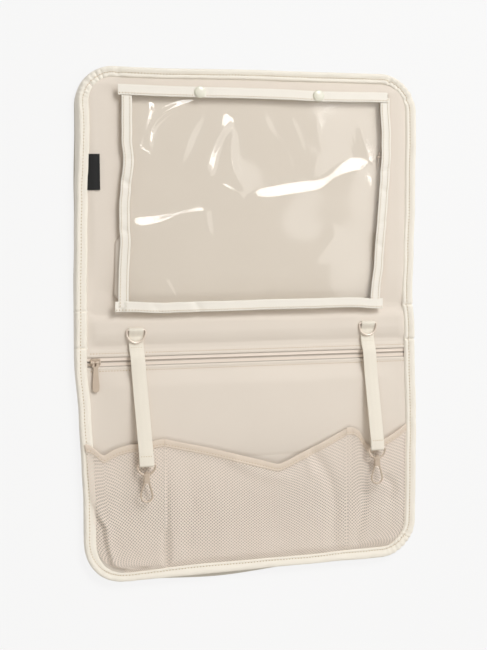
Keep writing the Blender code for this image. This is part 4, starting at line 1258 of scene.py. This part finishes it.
def net_sides(y):
    """The nets' outer edges at y, beside the rim or over it."""
    radius = CORNER - BINDING_WIDTH
    past = max(-y - (HALF_LENGTH - CORNER), 0.0)
    across = math.sqrt(max(radius * radius - past * past, 0.0))
    across += HALF_WIDTH - BINDING_WIDTH - radius - 0.8
    left = curve_at(LEFT_SHIFT, y) - across - curve_at(LEFT_LAP, y)
    return left, across + curve_at(RIGHT_SHIFT, y)


def net_low(x):
    """Where the nets end above the rim's lower side."""
    return curve_at(LOW_SHIFT, x) + curve_at(LOW_WIDTH, x) + 0.8 - HALF_LENGTH


# Upper edge of each net: share of its width, and y
LEFT_MOUTH = softened((
    (0.0, -145.0), (0.05, -146.0), (0.1, -149.5), (0.2, -161.0), (0.26, -158.0), (0.35, -153.0),
    (0.5, -149.1), (0.66, -147.1), (0.85, -145.2), (1.0, -142.9),
))
CENTRE_MOUTH = softened((
    (0.0, -143.6), (0.1, -149.7), (0.23, -157.2), (0.4, -169.1), (0.52, -177.5), (0.6, -183.4),
    (0.62, -184.0), (0.67, -179.6), (0.73, -172.4), (0.8, -165.4), (0.86, -158.7), (0.93, -150.7),
    (1.0, -142.0),
))
RIGHT_MOUTH = softened((
    (0.0, -140.7), (0.13, -141.2), (0.24, -148.7), (0.36, -167.5), (0.44, -167.0), (0.62, -158.7),
    (0.81, -149.7), (0.92, -143.4), (1.0, -140.5),
))
# Folds of the nets: points, height and reach
NET_FOLDS = {
    "left": (
        (((-176, -168), (-170, -200), (-178, -240)), -0.9, 9.0),
        (((-150, -160), (-146, -210), (-150, -270)), 0.5, 14.0),
    ),
    "centre": (
        (((-32, -175), (3, -195), (48, -206)), 1.8, 7.0),
        (((71, -177), (79, -204)), 1.6, 6.0),
        (((79, -171), (107, -212), (110, -253), (107, -297)), -3.2, 8.0),
        (((-94, -160), (-84, -220), (-90, -290)), -1.6, 11.0),
        (((20, -225), (30, -290)), -1.4, 16.0),
        (((-60, -200), (-40, -240), (-44, -290)), 1.2, 9.0),
    ),
    "right": (
        (((150, -148), (154, -168), (160, -188)), -3.4, 7.0),
        (((152, -226), (150, -252), (138, -300)), -3.6, 7.0),
        (((178, -209), (195, -223), (188, -243)), -3.4, 6.0),
        (((170, -196), (160, -215)), 1.2, 6.0),
        (((176, -250), (172, -296)), 1.6, 9.0),
    ),
}
NET_FOLDS = {
    net: [(fold_of(points, 3 * reach), height, reach) for points, height, reach in folds]
    for net, folds in NET_FOLDS.items()
}
# The fold of the left net near the rim: y and the fold's x
LEFT_FOLD = ((-310, -188.4), (-255, -196.4), (-229, -208.5), (-215, -216.0), (-200, -226.0))
SEAM_HEIGHT = 5.1  # a net's height along the seams, and about its height between them


def net_height(name, x, y):
    """How far a net stands off the front cloth, away from its sewn edges."""
    height = SEAM_HEIGHT + 0.7 * waves(x, y, 26.0, 51.0) + 0.25 * waves(x, y, 9.0, 52.0)
    for off, along, swell, reach in folds_at(NET_FOLDS[name], x, y):
        fade = ease(min(along, 1.0 - along) * 4.0 + 0.4)
        height += swell * fade * hump(off, 0.0, reach)
    if name == "left":
        past = x - curve_at(LEFT_FOLD, y)
        height += 1.2 * hump(past, 4.0, 5.0) * ease((-205.0 - y) / 20.0)
        height = 0.5 + (height - 0.5) * ease((past + 1.5) / 4.5)
    near_left = hump(x, SEAM_LEFT, 9.0)
    near_right = hump(x, SEAM_RIGHT, 7.0)
    height += (SEAM_HEIGHT - height) * max(near_left, near_right)
    height += 1.3 * hump(x, SEAM_RIGHT, 2.6) - 1.5 * hump(x, SEAM_RIGHT + 7.5, 3.2)
    height -= 2.6 * hump(x, SEAM_LEFT + 2.5, 2.6) * ease((-170.0 - y) / 60.0)
    return max(height, 0.6)


NETS = (
    {
        "name": "left",
        "sides": lambda y: (net_sides(y)[0], SEAM_LEFT - 0.15),
        "mouth": LEFT_MOUTH,
        "width": 96.0,
    },
    {
        "name": "centre",
        "sides": lambda y: (SEAM_LEFT + 0.15, SEAM_RIGHT - 0.15),
        "mouth": CENTRE_MOUTH,
        "width": 243.7,
    },
    {
        "name": "right",
        "sides": lambda y: (SEAM_RIGHT + 0.15, net_sides(y)[1]),
        "mouth": RIGHT_MOUTH,
        "width": 85.0,
    },
)
NET_CELL = 3.2
NET_STRAND = 0.62  # from a cell's side to its hole


def net_point(net, u, y):
    """A point on a net's surface."""
    x_low, x_high = net["sides"](y)
    x = x_low + (x_high - x_low) * u
    # the left seam is sewn down only near the bottom, the right one not at all
    loose_left = 14.0 * ease((y + 268.0) / 24.0)
    distance = y - net_low(x)
    edge = 0.0
    if net["name"] == "left":
        distance = min(distance, x - x_low, x_high - x + loose_left)
        edge = curve_at(LAP_RISE, curve_at(LEFT_LAP, y))
    elif net["name"] == "centre":
        distance = min(distance, x - x_low + loose_left)
    else:
        distance = min(distance, x_high - x)
    rise = math.sin(clamp(distance / 12.0) * math.pi / 2)
    height = edge + (net_height(net["name"], x, y) - edge) * rise
    return Vector((x, y, LIP_Z + 0.4 + height))


def net_cloth(net):
    """Knitted net: a slanted grid of cells, each with its hole."""
    length = NET_TOP - NET_BOTTOM
    width = net["width"]
    size = (width + length) * 0.75
    bm = bmesh.new()
    layer = bm.loops.layers.uv.new("cloth")
    cells = int(2 * size / NET_CELL)
    bmesh.ops.create_grid(bm, x_segments=cells, y_segments=cells, size=cells * NET_CELL / 2)
    slant = Matrix.Rotation(math.radians(45), 3, "Z")
    bmesh.ops.rotate(bm, cent=(0, 0, 0), matrix=slant, verts=bm.verts)
    for way in (Vector((1, 0, 0)), Vector((-1, 0, 0)), Vector((0, 1, 0)), Vector((0, -1, 0))):
        at = Vector((way.x * width / 2, way.y * length / 2, 0))
        geometry = bm.verts[:] + bm.edges[:] + bm.faces[:]
        bmesh.ops.bisect_plane(
            bm, geom=geometry, dist=0.0001, plane_co=at, plane_no=way, clear_outer=True
        )
    cell_area = NET_CELL * NET_CELL
    whole = [face for face in bm.faces if face.calc_area() > 0.98 * cell_area]
    cut = [face for face in bm.faces if 0.4 * cell_area < face.calc_area() <= 0.98 * cell_area]
    bmesh.ops.inset_individual(bm, faces=whole, thickness=NET_STRAND, use_even_offset=True)
    bmesh.ops.inset_individual(bm, faces=cut, thickness=0.6 * NET_STRAND, use_even_offset=True)
    bmesh.ops.delete(bm, geom=whole + cut, context="FACES")
    flat_uv(bm, layer)
    flat_area = sum(face.calc_area() for face in bm.faces)
    for vert in bm.verts:
        u = clamp(vert.co.x / width + 0.5)
        v = clamp(vert.co.y / length + 0.5)
        top = line_at(net["mouth"], u) - NET_TAPE_WIDTH * 0.5
        x_low, x_high = net["sides"](NET_BOTTOM)
        bottom = net_low(x_low + (x_high - x_low) * u)
        vert.co = net_point(net, u, bottom + (top - bottom) * v)
    bmesh.ops.recalc_face_normals(bm, faces=bm.faces)
    name = "net_" + net["name"]
    made = piece(name + "_cloth", bm, NET_THREAD, [name], smooth_angle=180)


def net_tape(net):
    """Folded tape over a net's mouth."""
    width = net["width"]
    section = ((0.0, 0.0), (0.03, 0.8), (0.14, 1.15), (0.3, 1.0), (0.62, 0.8), (0.66, 0.6))
    section += ((0.72, 0.8), (0.96, 0.7), (1.0, 0.3), (1.0, -0.3), (0.9, -0.7), (0.3, -0.8))
    section += ((0.06, -0.7),)
    count = len(section)

    def spine(u, across=0.0):
        return net_point(net, u, line_at(net["mouth"], u) - NET_TAPE_WIDTH * across)

    def place(u, v):
        across, up = section[round(v * count) % count]
        point = spine(u, across)
        point.z += 0.9 * up + 0.15 * waves(u * width, across * 9.0, 9.0, 61.0)
        return point

    bm = laid_grid(int(width / 1.6), count, place, width, 24.0)
    cap_ends(bm)
    name = "net_tape_" + net["name"]
    piece(name + "_cloth", bm, NET_TAPE_CLOTH, [name])

    def row(share):
        point = spine(share, 0.66)
        point.z += 0.75
        return point

    return row, width


def nets():
    rows = []
    for net in NETS:
        net_cloth(net)
        rows.append(net_tape(net))
    stitches("net_stitches", rows, 1.9, 1.8, 1.0)


def side_label():
    """Woven label in the side seam, left blank."""
    node = "side_label"
    corner, top = low(node), high(node).z
    size = high(node) - corner

    def place(u, v):
        x, y = corner.x + size.x * u, corner.y + size.y * v
        curl = 1.4 * u * u + 0.35 * math.sin(math.pi * v) * u + front_height(x, y) - FRONT_Z
        return Vector((x, y, top + curl))

    bm = laid_grid(14, 30, place, size.x, size.y)
    thicken(bm, 0.5)
    made = piece(node + "_cloth", bm, LABEL_CLOTH, [node], smooth_angle=40)


# Studio


def floor():
    """Pale floor that keeps only a faint shadow."""
    bm = bmesh.new()
    bmesh.ops.create_grid(bm, x_segments=1, y_segments=1, size=6.0)
    mesh = bpy.data.meshes.new("floor")
    bm.to_mesh(mesh)
    bm.free()
    made, tree, shader = blank_material("floor", 0.9)
    shader.inputs["Base Color"].default_value = (0.9, 0.9, 0.9, 1.0)
    shader.inputs["Specular IOR Level"].default_value = 0.0
    glow = tree.nodes.new("ShaderNodeEmission")
    glow.inputs["Color"].default_value = (1.0, 1.0, 1.0, 1.0)
    glow.inputs["Strength"].default_value = 0.94
    mix_shaders(tree, shader, glow).default_value = 0.88
    mesh.materials.append(made)
    new_object("floor", mesh)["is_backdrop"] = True


def lamp(name, place, aim, size_x, size_y, radiance, tint=(1.0, 1.0, 1.0)):
    """A soft box; radiance is how bright its face looks."""
    data = bpy.data.lights.new(name, "AREA")
    data.shape = "RECTANGLE"
    data.size = size_x
    data.size_y = size_y
    data.energy = radiance * math.pi * size_x * size_y
    data.color = tint
    made = new_object(name, data)
    made.location = Vector(place)
    way = Vector(aim) - Vector(place)
    made.rotation_euler = way.to_track_quat("-Z", "Y").to_euler()


def studio():
    world = bpy.data.worlds.new("studio")
    world.use_nodes = True
    background = world.node_tree.nodes["Background"]
    background.inputs["Color"].default_value = (1.0, 0.955, 0.89, 1.0)
    background.inputs["Strength"].default_value = 0.3
    bpy.context.scene.world = world
    lamp("key", (1.1, 2.25, 2.6), (0.0, 0.0, 0.0), 1.3, 1.0, 12.5)
    lamp("band", (0.6, 1.08, 1.93), (0.0, 0.15, 0.0), 1.3, 0.46, 6.0)
    lamp("side", (2.3, 0.3, 1.75), (0.0, 0.15, 0.0), 0.34, 1.5, 6.0)
    lamp("top", (1.42, 0.3, 2.1), (0.0, 0.1, 0.0), 1.0, 1.1, 1.1)
    lamp("fill", (-0.2, -0.9, 1.0), (0.0, -0.15, 0.0), 0.7, 0.7, 2.2, (1.0, 0.96, 0.9))
    lamp("left", (-1.8, 0.3, 0.9), (-0.2, 0.1, 0.0), 1.0, 1.0, 0.5, (1.0, 0.97, 0.93))
    scene = bpy.context.scene
    scene.view_settings.view_transform = "Standard"
    scene.view_settings.look = "None"


def camera():
    forward = Vector(CAMERA_LOOK).normalized()
    right = forward.cross(Vector(CAMERA_UP)).normalized()
    up = right.cross(forward)
    data = bpy.data.cameras.new("camera")
    data.lens = CAMERA_LENS
    data.sensor_fit = "VERTICAL"
    data.sensor_height = 36.0
    made = new_object("camera", data)
    turned = Matrix((right, up, -forward)).transposed().to_4x4()
    made.matrix_world = Matrix.Translation(Vector(CAMERA_PLACE) * MM) @ turned
    bpy.context.scene.camera = made


def main():
    camera()
    studio()
    floor()
    back_cover()
    edge_binding()
    front_panels()
    zip_across()
    window_film()
    gusset()
    window_tapes()
    straps()
    nets()
    side_label()
    dress(BOARD_SKIN, "upper_board", "spine_pad", "lower_board")


main()

boxes = {"cad": CAD_BOX, "visual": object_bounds()}
{key: [list(corner) for corner in box] for key, box in boxes.items()}
